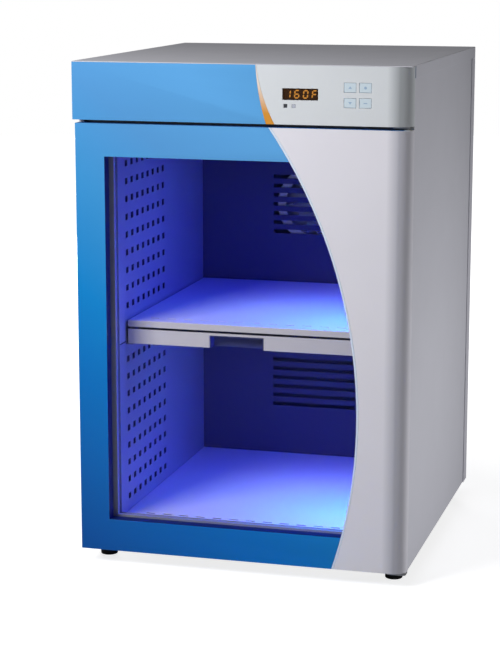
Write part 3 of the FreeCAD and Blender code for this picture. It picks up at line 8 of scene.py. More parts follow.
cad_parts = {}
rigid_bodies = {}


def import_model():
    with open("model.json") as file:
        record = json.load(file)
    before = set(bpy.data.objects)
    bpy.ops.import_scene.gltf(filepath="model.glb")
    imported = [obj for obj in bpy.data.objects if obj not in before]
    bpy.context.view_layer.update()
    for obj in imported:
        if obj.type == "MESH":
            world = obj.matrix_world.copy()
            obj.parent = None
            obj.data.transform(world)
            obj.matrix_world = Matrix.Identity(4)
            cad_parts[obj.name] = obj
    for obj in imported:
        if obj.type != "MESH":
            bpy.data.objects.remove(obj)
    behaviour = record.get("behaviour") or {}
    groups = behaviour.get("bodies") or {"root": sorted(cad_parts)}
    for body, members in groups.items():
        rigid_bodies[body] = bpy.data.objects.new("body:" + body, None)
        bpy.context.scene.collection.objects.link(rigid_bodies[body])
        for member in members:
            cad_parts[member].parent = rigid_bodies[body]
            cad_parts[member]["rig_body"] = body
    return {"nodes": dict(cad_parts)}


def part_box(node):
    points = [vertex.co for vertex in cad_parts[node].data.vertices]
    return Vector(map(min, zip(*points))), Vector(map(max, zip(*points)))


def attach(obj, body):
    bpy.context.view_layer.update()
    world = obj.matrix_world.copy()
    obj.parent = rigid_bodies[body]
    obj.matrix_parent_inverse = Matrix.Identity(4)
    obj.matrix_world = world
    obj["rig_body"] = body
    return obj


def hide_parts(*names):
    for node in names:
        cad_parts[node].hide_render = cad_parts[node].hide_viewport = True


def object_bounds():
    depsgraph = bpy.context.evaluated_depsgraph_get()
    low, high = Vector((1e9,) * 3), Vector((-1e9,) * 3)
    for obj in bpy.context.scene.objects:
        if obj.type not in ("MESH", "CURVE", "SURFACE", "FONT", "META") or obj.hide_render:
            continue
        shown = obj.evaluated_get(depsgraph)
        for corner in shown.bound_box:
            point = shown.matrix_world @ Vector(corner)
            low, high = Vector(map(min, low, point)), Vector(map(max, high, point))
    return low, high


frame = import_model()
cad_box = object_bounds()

# Camera, floor and studio light. The cabinet stands on a white floor under one large soft lamp at the
# front left, a weaker one low at the right and one behind, in an even white studio.
camera = bpy.data.objects.new("camera", bpy.data.cameras.new("camera"))
camera.location = (0.685, -2.669, 0.838)
camera.rotation_euler = (math.radians(78.98), 0, math.radians(15.46))
camera.data.lens = 108.3
bpy.context.collection.objects.link(camera)
bpy.context.scene.camera = camera
bpy.context.scene.view_settings.view_transform = "Standard"


def paint(red, green, blue):
    """Linear colour of a paint chip that is read as three numbers from 0 to 255."""
    chip = [part / 255 for part in (red, green, blue)]
    return (*[part / 12.92 if part < 0.04 else ((part + 0.055) / 1.055) ** 2.4 for part in chip], 1)


def node(tree, kind, inputs=(), **settings):
    """One shader node with its settings made and its inputs given a value or joined to another node."""
    new = tree.nodes.new("ShaderNode" + kind)
    for name, setting in settings.items():
        setattr(new, name, setting)
    for name, value in dict(inputs).items():
        if isinstance(value, bpy.types.NodeSocket):
            tree.links.new(value, new.inputs[name])
        else:
            new.inputs[name].default_value = value
    return new


def sums(tree, what, *values, clamp=False):
    """Output of a Math node that does what is named."""
    return node(tree, "Math", dict(enumerate(values)), operation=what, use_clamp=clamp).outputs[0]


def blended(tree, factor, first, second):
    """Output of a colour mix from first to second."""
    mix = node(tree, "Mix", {0: factor, 6: first, 7: second}, data_type="RGBA")
    return mix.outputs[2]


def ramped(tree, value, start, end, low=0.0, high=1.0):
    """Output that goes from low to high as a value goes from start to end."""
    inputs = {"Value": value, "From Min": start, "From Max": end, "To Min": low, "To Max": high}
    return node(tree, "MapRange", inputs).outputs[0]


def seen_directly(tree):
    """Output that is 1 where a surface is seen without a bounce, also through glass."""
    rays = node(tree, "LightPath").outputs
    return sums(tree, "MAXIMUM", rays["Is Camera Ray"], rays["Is Transmission Ray"])


def finish(name, colour, roughness, metallic=0.0, **sockets):
    """New material whose Principled shader has these constants; gives the material, tree and shader."""
    material = bpy.data.materials.new(name)
    material.use_nodes = True
    shader = material.node_tree.nodes["Principled BSDF"]
    shader.inputs["Base Color"].default_value = colour
    shader.inputs["Roughness"].default_value = roughness
    shader.inputs["Metallic"].default_value = metallic
    for socket, value in sockets.items():
        label = socket.replace("_", " ").title().replace("Ior", "IOR")
        shader.inputs[label].default_value = value
    return material, material.node_tree, shader


floor_material, tree, shader = finish("studio_floor", paint(186, 187, 190), 0.8)
shader.inputs["Emission Color"].default_value = (1, 1, 1, 1)
seen = seen_directly(tree)
away = node(tree, "VectorMath", {0: node(tree, "TexCoord").outputs["Object"]}, operation="LENGTH")
brighter = ramped(tree, away.outputs["Value"], 0.4, 0.9, 0.8, 1.1)
tree.links.new(sums(tree, "MULTIPLY", seen, brighter), shader.inputs["Emission Strength"])
shape = bmesh.new()
bmesh.ops.create_circle(shape, cap_ends=True, segments=96, radius=6)
floor_mesh = bpy.data.meshes.new("floor")
shape.to_mesh(floor_mesh)
floor_mesh.materials.append(floor_material)
floor = bpy.data.objects.new("floor", floor_mesh)
bpy.context.collection.objects.link(floor)

world = bpy.data.worlds.new("studio")
world.use_nodes = True
bpy.context.scene.world = world
tree = world.node_tree
seen = seen_directly(tree)
room_light, more_in_gloss = 0.12, 0.1
glossy = node(tree, "LightPath").outputs["Is Glossy Ray"]
level = sums(tree, "MULTIPLY_ADD", glossy, more_in_gloss, room_light)
sky = tree.nodes["Background"].inputs
sky["Color"].default_value = (1, 1, 1, 1)
tree.links.new(sums(tree, "MULTIPLY_ADD", seen, 1 - room_light, level), sky["Strength"])


def lamp(name, place, target, width, height, watts, colour=(1, 1, 1), spread=180):
    """Rectangular soft lamp at a place, turned to a target; metres, watts and degrees of spread."""
    data = bpy.data.lights.new(name, "AREA")
    data.shape = "RECTANGLE"
    data.size = width
    data.size_y = height
    data.energy = watts
    data.color = colour
    data.spread = math.radians(spread)
    light = bpy.data.objects.new(name, data)
    light.location = place
    light.rotation_euler = (Vector(target) - Vector(place)).to_track_quat("-Z", "Y").to_euler()
    bpy.context.collection.objects.link(light)
    return light


key_lamp = lamp("key_lamp", (-0.72, -1.3, 1.25), (0, -0.25, 0.48), width=0.6, height=0.6, watts=22)
side_lamp = lamp("side_lamp", (1.5, 0.6, 0.1), (0.228, -0.33, 0.25), width=0.5, height=0.15, watts=2.45,
                 spread=72)
lamp("rear_lamp", (-1.4, 2.6, 0.3), (0, 0.25, 0.35), width=1.2, height=0.5, watts=40)
for unmirrored in (key_lamp, side_lamp):
    unmirrored.visible_glossy = False


# Feet: four round feet of black rubber, each pushed through the base pan by its stem. The tread has a
# ring-shaped groove and the edges are rounded.
def effect(name, takes, gives):
    """Shader node group with named inputs and outputs; gives the group, its inputs and its output node."""
    group = bpy.data.node_groups.new(name, "ShaderNodeTree")
    for socket, kind, value in takes:
        taken = group.interface.new_socket(socket, in_out="INPUT", socket_type="NodeSocket" + kind)
        if value is not None:
            taken.default_value = value
    for socket, kind in gives:
        group.interface.new_socket(socket, in_out="OUTPUT", socket_type="NodeSocket" + kind)
    return group, group.nodes.new("NodeGroupInput").outputs, group.nodes.new("NodeGroupOutput").inputs


def use(tree, group, **inputs):
    """Outputs of a node group that is placed in a material."""
    placed = tree.nodes.new("ShaderNodeGroup")
    placed.node_tree = group
    for name, value in inputs.items():
        socket = placed.inputs[name.capitalize()]
        if isinstance(value, bpy.types.NodeSocket):
            tree.links.new(value, socket)
        else:
            socket.default_value = value
    return placed.outputs


def place_of(tree):
    """The point on the piece, in metres."""
    return node(tree, "TexCoord").outputs["Object"]


def parts_of(tree, vector):
    """The three parts of a point or a direction: to the right, to the back and up."""
    return node(tree, "SeparateXYZ", {0: vector}).outputs


def stretched(tree, place, *scale):
    """The place, scaled along each axis."""
    return node(tree, "Mapping", {"Vector": place, "Scale": scale}).outputs[0]


def noise(tree, place, size, detail=2.0, **sockets):
    """Output of a noise with so many lumps to a metre."""
    inputs = {"Vector": place, "Scale": size, "Detail": detail}
    return node(tree, "TexNoise", {**inputs, **sockets}).outputs[0]


def bumped(tree, shader, height, strength, distance=0.0003):
    """Gives a shader the relief of a height."""
    bump = node(tree, "Bump", {"Strength": strength, "Distance": distance, "Height": height})
    tree.links.new(bump.outputs[0], shader.inputs["Normal"])


# Small changes of colour, as on every real finish: clouds of slightly lighter and darker tone.
mottle, given, out = effect("mottle",
                            [("Place", "Vector", None), ("Colour", "Color", (1, 1, 1, 1)),
                             ("Size", "Float", 20.0), ("Amount", "Float", 0.05)],
                            [("Colour", "Color")])
clouds = noise(mottle, given["Place"], given["Size"], 5.0)
level = sums(mottle, "MULTIPLY_ADD", sums(mottle, "SUBTRACT", clouds, 0.5), given["Amount"], 0.5)
level = sums(mottle, "MULTIPLY", level, 2.0)
toned = node(mottle, "HueSaturation", {"Color": given["Colour"], "Value": level}).outputs[0]
mottle.links.new(toned, out["Colour"])

# The fine skin of paint or moulded plastic, as a height and as a small change of gloss.
skin, given, out = effect("fine_skin",
                          [("Place", "Vector", None), ("Size", "Float", 900.0),
                           ("Gloss", "Float", 0.3), ("Spread", "Float", 0.08)],
                          [("Height", "Float"), ("Roughness", "Float")])
fine = noise(skin, given["Place"], given["Size"], 3.0)
broad = noise(skin, given["Place"], 18.0, 6.0)
skin.links.new(fine, out["Height"])
shift = sums(skin, "MULTIPLY_ADD", sums(skin, "SUBTRACT", broad, 0.5), given["Spread"], given["Gloss"])
skin.links.new(shift, out["Roughness"])

# Wear along edges: where the bevelled normal leaves the true one, broken up by noise.
wear, given, out = effect("edge_wear",
                          [("Place", "Vector", None), ("Width", "Float", 0.0012), ("Amount", "Float", 0.5)],
                          [("Mask", "Float")])
soft = node(wear, "Bevel", {"Radius": given["Width"]}, samples=4).outputs[0]
true = node(wear, "NewGeometry").outputs["Normal"]
facing = node(wear, "VectorMath", {0: soft, 1: true}, operation="DOT_PRODUCT").outputs["Value"]
edge = sums(wear, "MULTIPLY", sums(wear, "SUBTRACT", 1.0, facing), 6.0, clamp=True)
patches = noise(wear, given["Place"], 55.0, 6.0)
patches = sums(wear, "MULTIPLY", sums(wear, "SUBTRACT", patches, 0.42), 5.0, clamp=True)
wear.links.new(sums(wear, "MULTIPLY", sums(wear, "MULTIPLY", edge, patches), given["Amount"]), out["Mask"])

# Dust that lies on what faces up.
dust, given, out = effect("settled_dust", [("Place", "Vector", None), ("Amount", "Float", 0.2)],
                          [("Mask", "Float")])
upward = parts_of(dust, node(dust, "NewGeometry").outputs["Normal"])[2]
flecks = noise(dust, given["Place"], 30.0, 8.0)
lying = sums(dust, "MULTIPLY", sums(dust, "SUBTRACT", upward, 0.6, clamp=True), flecks)
dust.links.new(sums(dust, "MULTIPLY", lying, given["Amount"]), out["Mask"])


def coated(name, chip, gloss, size=800.0, relief=0.1, wear_to=None, worn_by=0.3, cloud=0.04, dusty=0.0,
           metallic=0.0, spread=0.1, painted_corner_shade=None, **sockets):
    """Material of one finish: clouded tone, worn edges, settled dust, fine skin and uneven gloss.

    Where the front turns the right corner the tone goes over to a painted shade in the given corner colour,
    and along the side it goes part of the way back."""
    material, tree, shader = finish(name, paint(*chip), gloss, metallic, **sockets)
    place = place_of(tree)
    tone = use(tree, mottle, place=place, colour=paint(*chip), size=12.0, amount=cloud)["Colour"]
    if wear_to:
        tone = blended(tree, use(tree, wear, place=place, amount=worn_by)["Mask"], tone, paint(*wear_to))
    # Painted shade: the front darkens where it turns the right corner, as the turning moulding catches less
    # light.
    if painted_corner_shade:
        across, right = parts_of(tree, place)[0], cad_box[1][0]
        into_corner = ramped(tree, across, right - 0.032, right - 0.016)
        out_of_corner = ramped(tree, across, right - 0.015, right - 0.001, 1.0, 0.3)
        corner_shade_mask = sums(tree, "MINIMUM", into_corner, out_of_corner)
        tone = blended(tree, corner_shade_mask, tone, paint(*painted_corner_shade))
    if dusty:
        lying = use(tree, dust, place=place, amount=dusty)["Mask"]
        tone = blended(tree, lying, tone, paint(170, 168, 164))
    tree.links.new(tone, shader.inputs["Base Color"])
    surface = use(tree, skin, place=place, size=size, gloss=gloss, spread=spread)
    tree.links.new(surface["Roughness"], shader.inputs["Roughness"])
    bumped(tree, shader, surface["Height"], relief)
    return material


rubber = coated("black_rubber", (26, 26, 29), 0.75, size=1400.0, relief=0.25, wear_to=(86, 86, 90),
                worn_by=0.6, cloud=0.25, dusty=0.8)


def made(name, shape, material, beside, smooth=30):
    """Object from a bmesh with the given material. It rides on the body of a CAD node."""
    mesh = bpy.data.meshes.new(name)
    for face in shape.faces:
        face.smooth = True
    shape.to_mesh(mesh)
    shape.free()
    mesh.set_sharp_from_angle(angle=math.radians(smooth))
    mesh.materials.append(material)
    piece = bpy.data.objects.new(name, mesh)
    bpy.context.collection.objects.link(piece)
    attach(piece, frame["nodes"][beside]["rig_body"])
    return piece


def piece_of(name, shape, material, cad):
    """Object that stands for a CAD node."""
    piece = made(name, shape, material, cad)
    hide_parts(cad)
    return piece


def welded(cad):
    """The solids of a CAD node as a bmesh whose triangles share their corners."""
    shape = bmesh.new()
    shape.from_mesh(frame["nodes"][cad].data)
    bmesh.ops.remove_doubles(shape, verts=shape.verts, dist=2e-6)
    return shape


def from_cad(cad):
    """The solids of a CAD node as a bmesh with their flat faces joined."""
    shape = welded(cad)
    bmesh.ops.dissolve_limit(shape, angle_limit=math.radians(0.5), verts=shape.verts, edges=shape.edges)
    return shape


def broken_edges(piece, width, segments=2):
    """Bevel on a piece's sharp edges."""
    bevel = piece.modifiers.new("broken_edges", "BEVEL")
    bevel.width = width
    bevel.segments = segments
    bevel.limit_method = "ANGLE"
    bevel.angle_limit = math.radians(35)
    bevel.harden_normals = True
    return piece


def solids_of(cad):
    """Lowest and highest corner of each separate solid in a CAD node."""
    shape = welded(cad)
    waiting = set(shape.verts)
    boxes = []
    while waiting:
        reached = [waiting.pop()]
        for vert in reached:
            for edge in vert.link_edges:
                other = edge.other_vert(vert)
                if other in waiting:
                    waiting.remove(other)
                    reached.append(other)
        axes = list(zip(*[vert.co for vert in reached]))
        boxes.append((Vector([min(axis) for axis in axes]), Vector([max(axis) for axis in axes])))
    shape.free()
    return sorted(boxes, key=lambda box: tuple(box[0]))


def turned(shape, outline, foot, axis, steps=32):
    """Adds a turned form: an outline of (radius, distance from the foot) in metres, spun about an axis."""
    along, across = Vector(axis), Vector((1, 0, 0))
    line = [shape.verts.new(Vector(foot) + across * reach + along * rise) for reach, rise in outline]
    edges = [shape.edges.new(pair) for pair in zip(line, line[1:])]
    bmesh.ops.spin(shape, geom=line + edges, cent=foot, axis=axis, angle=math.tau, steps=steps,
                   use_merge=True)


def closed(shape):
    """The bmesh with its seams merged and its faces turned outward."""
    bmesh.ops.remove_doubles(shape, verts=shape.verts, dist=1e-6)
    bmesh.ops.recalc_face_normals(shape, faces=shape.faces)
    return shape


tread = [(0.0, 0.0), (0.007, 0.0), (0.0075, 0.0008), (0.0085, 0.0008), (0.009, 0.0), (0.0113, 0.0)]
side = [(0.0118, 0.0006), (0.012, 0.0182), (0.0118, 0.0192), (0.011, 0.0199)]
stem = [(0.0038, 0.0199), (0.0038, 0.0242), (0.0, 0.0242)]
shape = bmesh.new()
for low, high in solids_of("rubber_feet"):
    foot = ((low.x + high.x) / 2, (low.y + high.y) / 2, low.z)
    turned(shape, tread + side + stem, foot, (0, 0, 1), 48)
piece_of("rubber_feet_turned", closed(shape), rubber, "rubber_feet")

# Base pan, face frame, service tray, hinge brackets and shelf ledges: folded zinc-plated sheet with the
# faint spangle of the coating, joined by folded flanges and screws.
zinc, tree, shader = finish("zinc_sheet", paint(176, 179, 184), 0.42, 0.85)
place = place_of(tree)
flakes = node(tree, "TexVoronoi", {"Vector": place, "Scale": 130.0})
spangle = sums(tree, "MULTIPLY", flakes.outputs["Color"], 0.35)
tone = blended(tree, spangle, paint(150, 153, 158), paint(205, 207, 211))
worn = use(tree, wear, place=place, amount=0.5)["Mask"]
tree.links.new(blended(tree, worn, tone, paint(225, 226, 228)), shader.inputs["Base Color"])
surface = use(tree, skin, place=place, size=500.0, gloss=0.42, spread=0.2)
tree.links.new(surface["Roughness"], shader.inputs["Roughness"])
bumped(tree, shader, surface["Height"], 0.06, 0.0002)
for cad, width in (("base_pan", 0.0004), ("face_frame", 0.0003), ("service_tray", 0.0003),
                   ("hinge_brackets", 0.0004), ("shelf_ledges", 0.0003)):
    broken_edges(piece_of(cad + "_folded", from_cad(cad), zinc, cad), width)

# Side panels, top cover and rear cover: folded steel sheet in a pale grey powder coat with a fine
# texture. The top cover is a shallow lid that overhangs the sides a little.
powder = coated("case_powder_coat", (205, 205, 214), 0.52, relief=0.14, wear_to=(226, 227, 230),
                worn_by=0.35, cloud=0.035, dusty=0.3, spread=0.14, specular_ior_level=0.4)
for cad, width in (("side_panel_left", 0.0005), ("side_panel_right", 0.0005), ("top_cover", 0.0009),
                   ("rear_cover", 0.0004)):
    broken_edges(piece_of(cad + "_painted", from_cad(cad), powder, cad), width, 3)

# Fasteners and turned steel: pan-head screws with a drive recess hold the rear cover and the hinge
# brackets. The hinge pins, the fan shaft and the catch strikes are plated steel too.
steel = coated("plated_steel", (188, 189, 193), 0.3, size=2000.0, relief=0.05, wear_to=(232, 232, 235),
               worn_by=0.6, cloud=0.15, metallic=1.0, spread=0.25)


def pan_head_screw(shape, low, high, axis, from_high):
    """Adds a screw that fills the box of its CAD solid along an axis, with its head at one end."""
    index = axis.index(1)
    length = high[index] - low[index]
    radius, head, shank = 0.0035, 0.0017, 0.0019
    top = (low + high) / 2
    top[index] = high[index] if from_high else low[index]
    outline = [(0.0, 0.0009), (0.0009, 0.0006), (0.0012, 0.0), (radius - 0.0009, 0.0),
               (radius - 0.0003, 0.0004), (radius, 0.0011), (radius, head), (shank, head),
               (shank, length - 0.0006), (shank - 0.0006, length), (0.0, length)]
    turned(shape, outline, top, tuple(-part for part in axis) if from_high else axis, 24)


shape = bmesh.new()
for low, high in solids_of("rear_screws"):
    pan_head_screw(shape, low, high, (0, 1, 0), True)
piece_of("rear_screws_turned", closed(shape), steel, "rear_screws")
half_way_up = cad_box[1][2] / 2
shape = bmesh.new()
for low, high in solids_of("hinge_screws"):
    at_top = low.z > half_way_up
    pan_head_screw(shape, low, high, (0, 0, 1), at_top)
piece_of("hinge_screws_turned", closed(shape), steel, "hinge_screws")
shape = bmesh.new()
for low, high in solids_of("hinge_pins"):
    middle, length, radius = (low + high) / 2, high.z - low.z, (high.x - low.x) / 2
    edge = 0.0006
    pin = [(0.0, 0.0), (radius - edge, 0.0), (radius, edge), (radius, length - edge),
           (radius - edge, length), (0.0, length)]
    turned(shape, pin, (middle.x, middle.y, low.z), (0, 0, 1))
piece_of("hinge_pins_turned", closed(shape), steel, "hinge_pins")
shape = bmesh.new()
for low, high in solids_of("fan_shaft"):
    middle, length, radius = (low + high) / 2, high.y - low.y, (high.x - low.x) / 2
    edge, groove = 0.0005, 0.0004
    rod = [(0.0, 0.0), (radius - edge, 0.0), (radius, edge), (radius, 0.003), (radius - groove, 0.0033),
           (radius - groove, 0.0043), (radius, 0.0046), (radius, length - edge), (radius - edge, length),
           (0.0, length)]
    turned(shape, rod, (middle.x, low.y, middle.z), (0, 1, 0))
piece_of("fan_shaft_turned", closed(shape), steel, "fan_shaft")
broken_edges(piece_of("catch_strikes_plated", from_cad("catch_strikes"), steel, "catch_strikes"), 0.0002)

# Chamber: side walls of satin stainless sheet with the drawn grain of the mill, punched all over so
# that warm air comes through them. The back wall, the ceiling and the duct liner behind are enamelled a
# dark blue-grey, darker than the walls as painted shade deep in the chamber.
stainless, tree, shader = finish("satin_stainless", paint(166, 169, 182), 0.38, 0.35)
place = place_of(tree)
grain = noise(tree, stretched(tree, place, 900.0, 30.0, 900.0), 1.0, 4.0)
tone = use(tree, mottle, place=place, colour=paint(166, 169, 182), size=12.0, amount=0.08)["Colour"]
brighter = sums(tree, "MULTIPLY", grain, 0.2)
tree.links.new(blended(tree, brighter, tone, paint(196, 198, 208)), shader.inputs["Base Color"])
tree.links.new(sums(tree, "MULTIPLY_ADD", grain, 0.18, 0.3), shader.inputs["Roughness"])
bumped(tree, shader, grain, 0.08, 0.0002)
for cad in ("upper_side_walls", "lower_side_walls"):
    piece_of(cad + "_punched", from_cad(cad), stainless, cad)
# Painted shade: this enamel is darker than the walls to stand in for the shade at the back of the chamber.
painted_shade_enamel = coated("painted_shade_enamel", (66, 62, 96), 0.5, size=500.0, relief=0.06, wear_to=(150, 150, 160),
                     worn_by=0.3, cloud=0.06)
piece_of("chamber_back_wall_punched", from_cad("chamber_back_wall"), painted_shade_enamel, "chamber_back_wall")
for cad in ("chamber_ceiling", "duct_liner"):
    broken_edges(piece_of(cad + "_pressed", from_cad(cad), painted_shade_enamel, cad), 0.0004)

# Shelf and floor: trays pressed from sheet in a satin off-white enamel. The shelf rests on the pan and
# the pan has a dark moulded pull let into its front edge.
white_enamel = coated("tray_enamel", (222, 219, 230), 0.4, size=500.0, relief=0.06, wear_to=(188, 188, 196),
                      worn_by=0.3, cloud=0.03)
for cad in ("floor_tray", "shelf_tray", "shelf_pan"):
    broken_edges(piece_of(cad + "_pressed", from_cad(cad), white_enamel, cad), 0.0005, 3)
# The pull is dark nylon; its blue tint is painted light, the glow of the blue light bars laid on it.
blue_cast_nylon = coated("painted_blue_cast_nylon", (60, 66, 118), 0.5, size=1800.0, relief=0.25, wear_to=(96, 100, 130),
               worn_by=0.4, cloud=0.1)
broken_edges(piece_of("shelf_pull_moulded", from_cad("shelf_pull"), blue_cast_nylon, "shelf_pull"), 0.0006, 3)

# Light bars: a black nylon housing with a strip of blue LEDs behind a ribbed diffusing lens, at the top
# right of each compartment. The light falls down and to the left, and spills along the front.
dark_nylon = coated("dark_nylon", (44, 46, 54), 0.55, size=1800.0, relief=0.25, wear_to=(96, 98, 108),
                    worn_by=0.4, cloud=0.15)
broken_edges(piece_of("light_housings_moulded", from_cad("light_housings"), dark_nylon, "light_housings"),
             0.0008, 3)
light_lens, tree, shader = finish("light_lens", paint(150, 185, 255), 0.35)
place = place_of(tree)
spots, ribs = [node(tree, "TexWave", {"Vector": stretched(tree, place, 0.0, spacing, 0.0), "Scale": 1.0},
                    bands_direction="Y").outputs[1] for spacing in (80.0, 600.0)]
glow = blended(tree, spots, paint(40, 90, 255), paint(170, 205, 255))
tree.links.new(glow, shader.inputs["Emission Color"])
shader.inputs["Emission Strength"].default_value = 1.4
bumped(tree, shader, ribs, 0.3, 0.0005)
broken_edges(piece_of("light_lenses_diffusing", from_cad("light_lenses"), light_lens, "light_lenses"),
             0.0009, 3)
deep_blue, cyan, pale_blue = (0.0, 0.005, 1.0), (0.0, 0.5, 1.0), (0.08, 0.1, 1.0)
for low, high in solids_of("light_lenses"):
    x, y, level = (low.x + high.x) / 2 - 0.007, (low.y + high.y) / 2 - 0.025, low.z - 0.001
    stronger_above = 0.7 * level + 0.35
    lamp("led_bar", (x, y, level), (x - 0.1, y, level - 0.16), width=0.23, height=0.01, watts=0.52,
         colour=deep_blue, spread=125)
    lamp("led_core", (x - 0.007, y - 0.07, level), (x - 0.032, y - 0.08, level - 0.12), width=0.1,
         height=0.01, watts=0.2, colour=cyan, spread=95)
    lamp("led_spill", (x + 0.01, y - 0.13, level - 0.11), (x - 0.26, y - 0.1, level - 0.13), width=0.01,
         height=0.2, watts=stronger_above, colour=pale_blue, spread=150)

# Warm air unit: a motor behind the duct, a bladed wheel on its shaft and a ring of sheathed heating tube
# round the wheel. A thermostat and a temperature probe watch the air.
motor_enamel = coated("motor_enamel", (62, 66, 74), 0.4, size=400.0, relief=0.2, wear_to=(150, 150, 154),
                      worn_by=0.5, cloud=0.08)
shape = bmesh.new()
low, high = solids_of("fan_motor")[0]
middle, radius, length = (low + high) / 2, (high.z - low.z) / 2, high.y - low.y
can = [(0.0043, 0.0), (0.012, 0.0), (0.014, 0.0008), (0.03, 0.0008), (radius - 0.001, 0.0014),
       (radius, 0.0024), (radius, 0.0086), (radius - 0.0012, 0.0092), (radius - 0.0012, 0.0208),
       (radius, 0.0214), (radius, 0.0262), (radius - 0.002, 0.0285), (0.018, 0.0292), (0.0165, length),
       (0.0, length)]
turned(shape, can, (middle.x, low.y, middle.z), (0, 1, 0), 64)
piece_of("fan_motor_can", closed(shape), motor_enamel, "fan_motor")


def drawn_out(shape, points, along):
    """Adds a plate: a face through the points, drawn out along a vector."""
    face = shape.faces.new([shape.verts.new(point) for point in points])
    region = bmesh.ops.extrude_face_region(shape, geom=[face])["geom"]
    moved = [part for part in region if isinstance(part, bmesh.types.BMVert)]
    bmesh.ops.translate(shape, verts=moved, vec=along)


aluminium = coated("rolled_aluminium", (196, 199, 204), 0.34, size=300.0, relief=0.05,
                   wear_to=(236, 236, 238), worn_by=0.4, cloud=0.08, metallic=0.9, spread=0.15)
shape = bmesh.new()
low, high = solids_of("fan_impeller")[0]
middle, radius, width = (low + high) / 2, (high.z - low.z) / 2, high.y - low.y
plate, rim_sheet, bore = 0.0015, 0.0012, 0.0041
hub = [(bore, width), (radius - 0.001, width), (radius, width - 0.0005), (radius, width - plate),
       (0.012, width - plate), (0.01, width - 0.004), (0.009, width / 2 + 0.001), (0.0082, width / 2),
       (bore, width / 2), (bore, width)]
turned(shape, hub, (middle.x, low.y, middle.z), (0, 1, 0), 72)
shroud = [(radius - 0.014, rim_sheet), (radius - 0.013, 0.0), (radius - 0.001, 0.0), (radius, 0.0008),
          (radius - 0.0006, 0.0014), (radius - 0.012, 0.0014), (radius - 0.014, rim_sheet)]
turned(shape, shroud, (middle.x, low.y, middle.z), (0, 1, 0), 72)
blades, eye, sweep, thickness, parts = 12, 0.036, 0.3, 0.0013, 8
for blade in range(blades):
    sides = []
    for part in range(parts + 1):
        reach = eye + (radius - rim_sheet - eye) * part / parts
        turn = math.tau * blade / blades + sweep * (part / parts) ** 1.5
        sides.append((Vector((reach * math.cos(turn), 0, reach * math.sin(turn))),
                      Vector((-math.sin(turn), 0, math.cos(turn))) * thickness / 2))
    rim = [spine + half for spine, half in sides] + [spine - half for spine, half in reversed(sides)]
    root = Vector((middle.x, low.y + rim_sheet, middle.z))
    drawn_out(shape, [point + root for point in rim], (0, width - plate - rim_sheet, 0))
piece_of("fan_impeller_bladed", closed(shape), aluminium, "fan_impeller")

sheath = coated("heater_sheath", (96, 84, 74), 0.45, size=900.0, relief=0.12, wear_to=(150, 132, 118),
                worn_by=0.3, cloud=0.4, metallic=0.8, spread=0.2)
shape = bmesh.new()
low, high = solids_of("ring_heater")[0]
tube, collar, ring = 0.0032, 0.0012, (high.z - low.z) / 2 - 0.003
centre = Vector(((low.x + high.x) / 2, low.y + 0.0045, (low.z + high.z) / 2))
upright = Matrix.Translation(centre + Vector((0, 0, ring))) @ Matrix.Rotation(math.pi / 2, 4, "Y")
section = bmesh.ops.create_circle(shape, segments=16, radius=tube, matrix=upright)["verts"]
bmesh.ops.spin(shape, geom=section + list({edge for vert in section for edge in vert.link_edges}),
               cent=centre, axis=(0, 1, 0), angle=math.tau, steps=96, use_merge=True)
for across in (-0.015, 0.015):
    root = Vector((across, centre.y, centre.z - math.sqrt(ring ** 2 - across ** 2)))
    reach = high.y - root.y
    leg = [(0.0, 0.0), (tube, 0.0), (tube, 0.01), (tube + collar, 0.0102), (tube + collar, reach),
           (0.0, reach)]
    turned(shape, leg, root, (0, 1, 0), 16)
piece_of("ring_heater_tube", closed(shape), sheath, "ring_heater")

shape = bmesh.new()
low, high = solids_of("temperature_probe")[0]
middle, length, radius = (low + high) / 2, high.y - low.y, (high.x - low.x) / 2
tip = 0.0019
probe = [(0.0, 0.0), (0.0012, 0.0003), (tip, 0.0012), (tip, length - 0.006), (radius, length - 0.0055),
         (radius, length), (0.0, length)]
turned(shape, probe, (middle.x, low.y, middle.z), (0, 1, 0))
piece_of("temperature_probe_turned", closed(shape), steel, "temperature_probe")
thermostat = from_cad("limit_thermostat")
broken_edges(piece_of("limit_thermostat_moulded", thermostat, dark_nylon, "limit_thermostat"), 0.0005, 3)

# Insulation: batts of yellow glass wool behind the walls, over the ceiling and under the floor. The
# fibres lie in loose streaks.
wool, tree, shader = finish("glass_wool", paint(214, 196, 120), 0.95, sheen_weight=0.3)
place = place_of(tree)
fibres = noise(tree, stretched(tree, place, 260.0, 700.0, 260.0), 1.0, 8.0, Roughness=0.7)
tree.links.new(blended(tree, fibres, paint(176, 152, 78), paint(236, 222, 160)), shader.inputs["Base Color"])
bumped(tree, shader, fibres, 0.9, 0.002)
for cad in ("side_insulation", "rear_insulation", "top_insulation", "base_insulation"):
    broken_edges(piece_of(cad + "_batts", from_cad(cad), wool, cad), 0.003, 3)

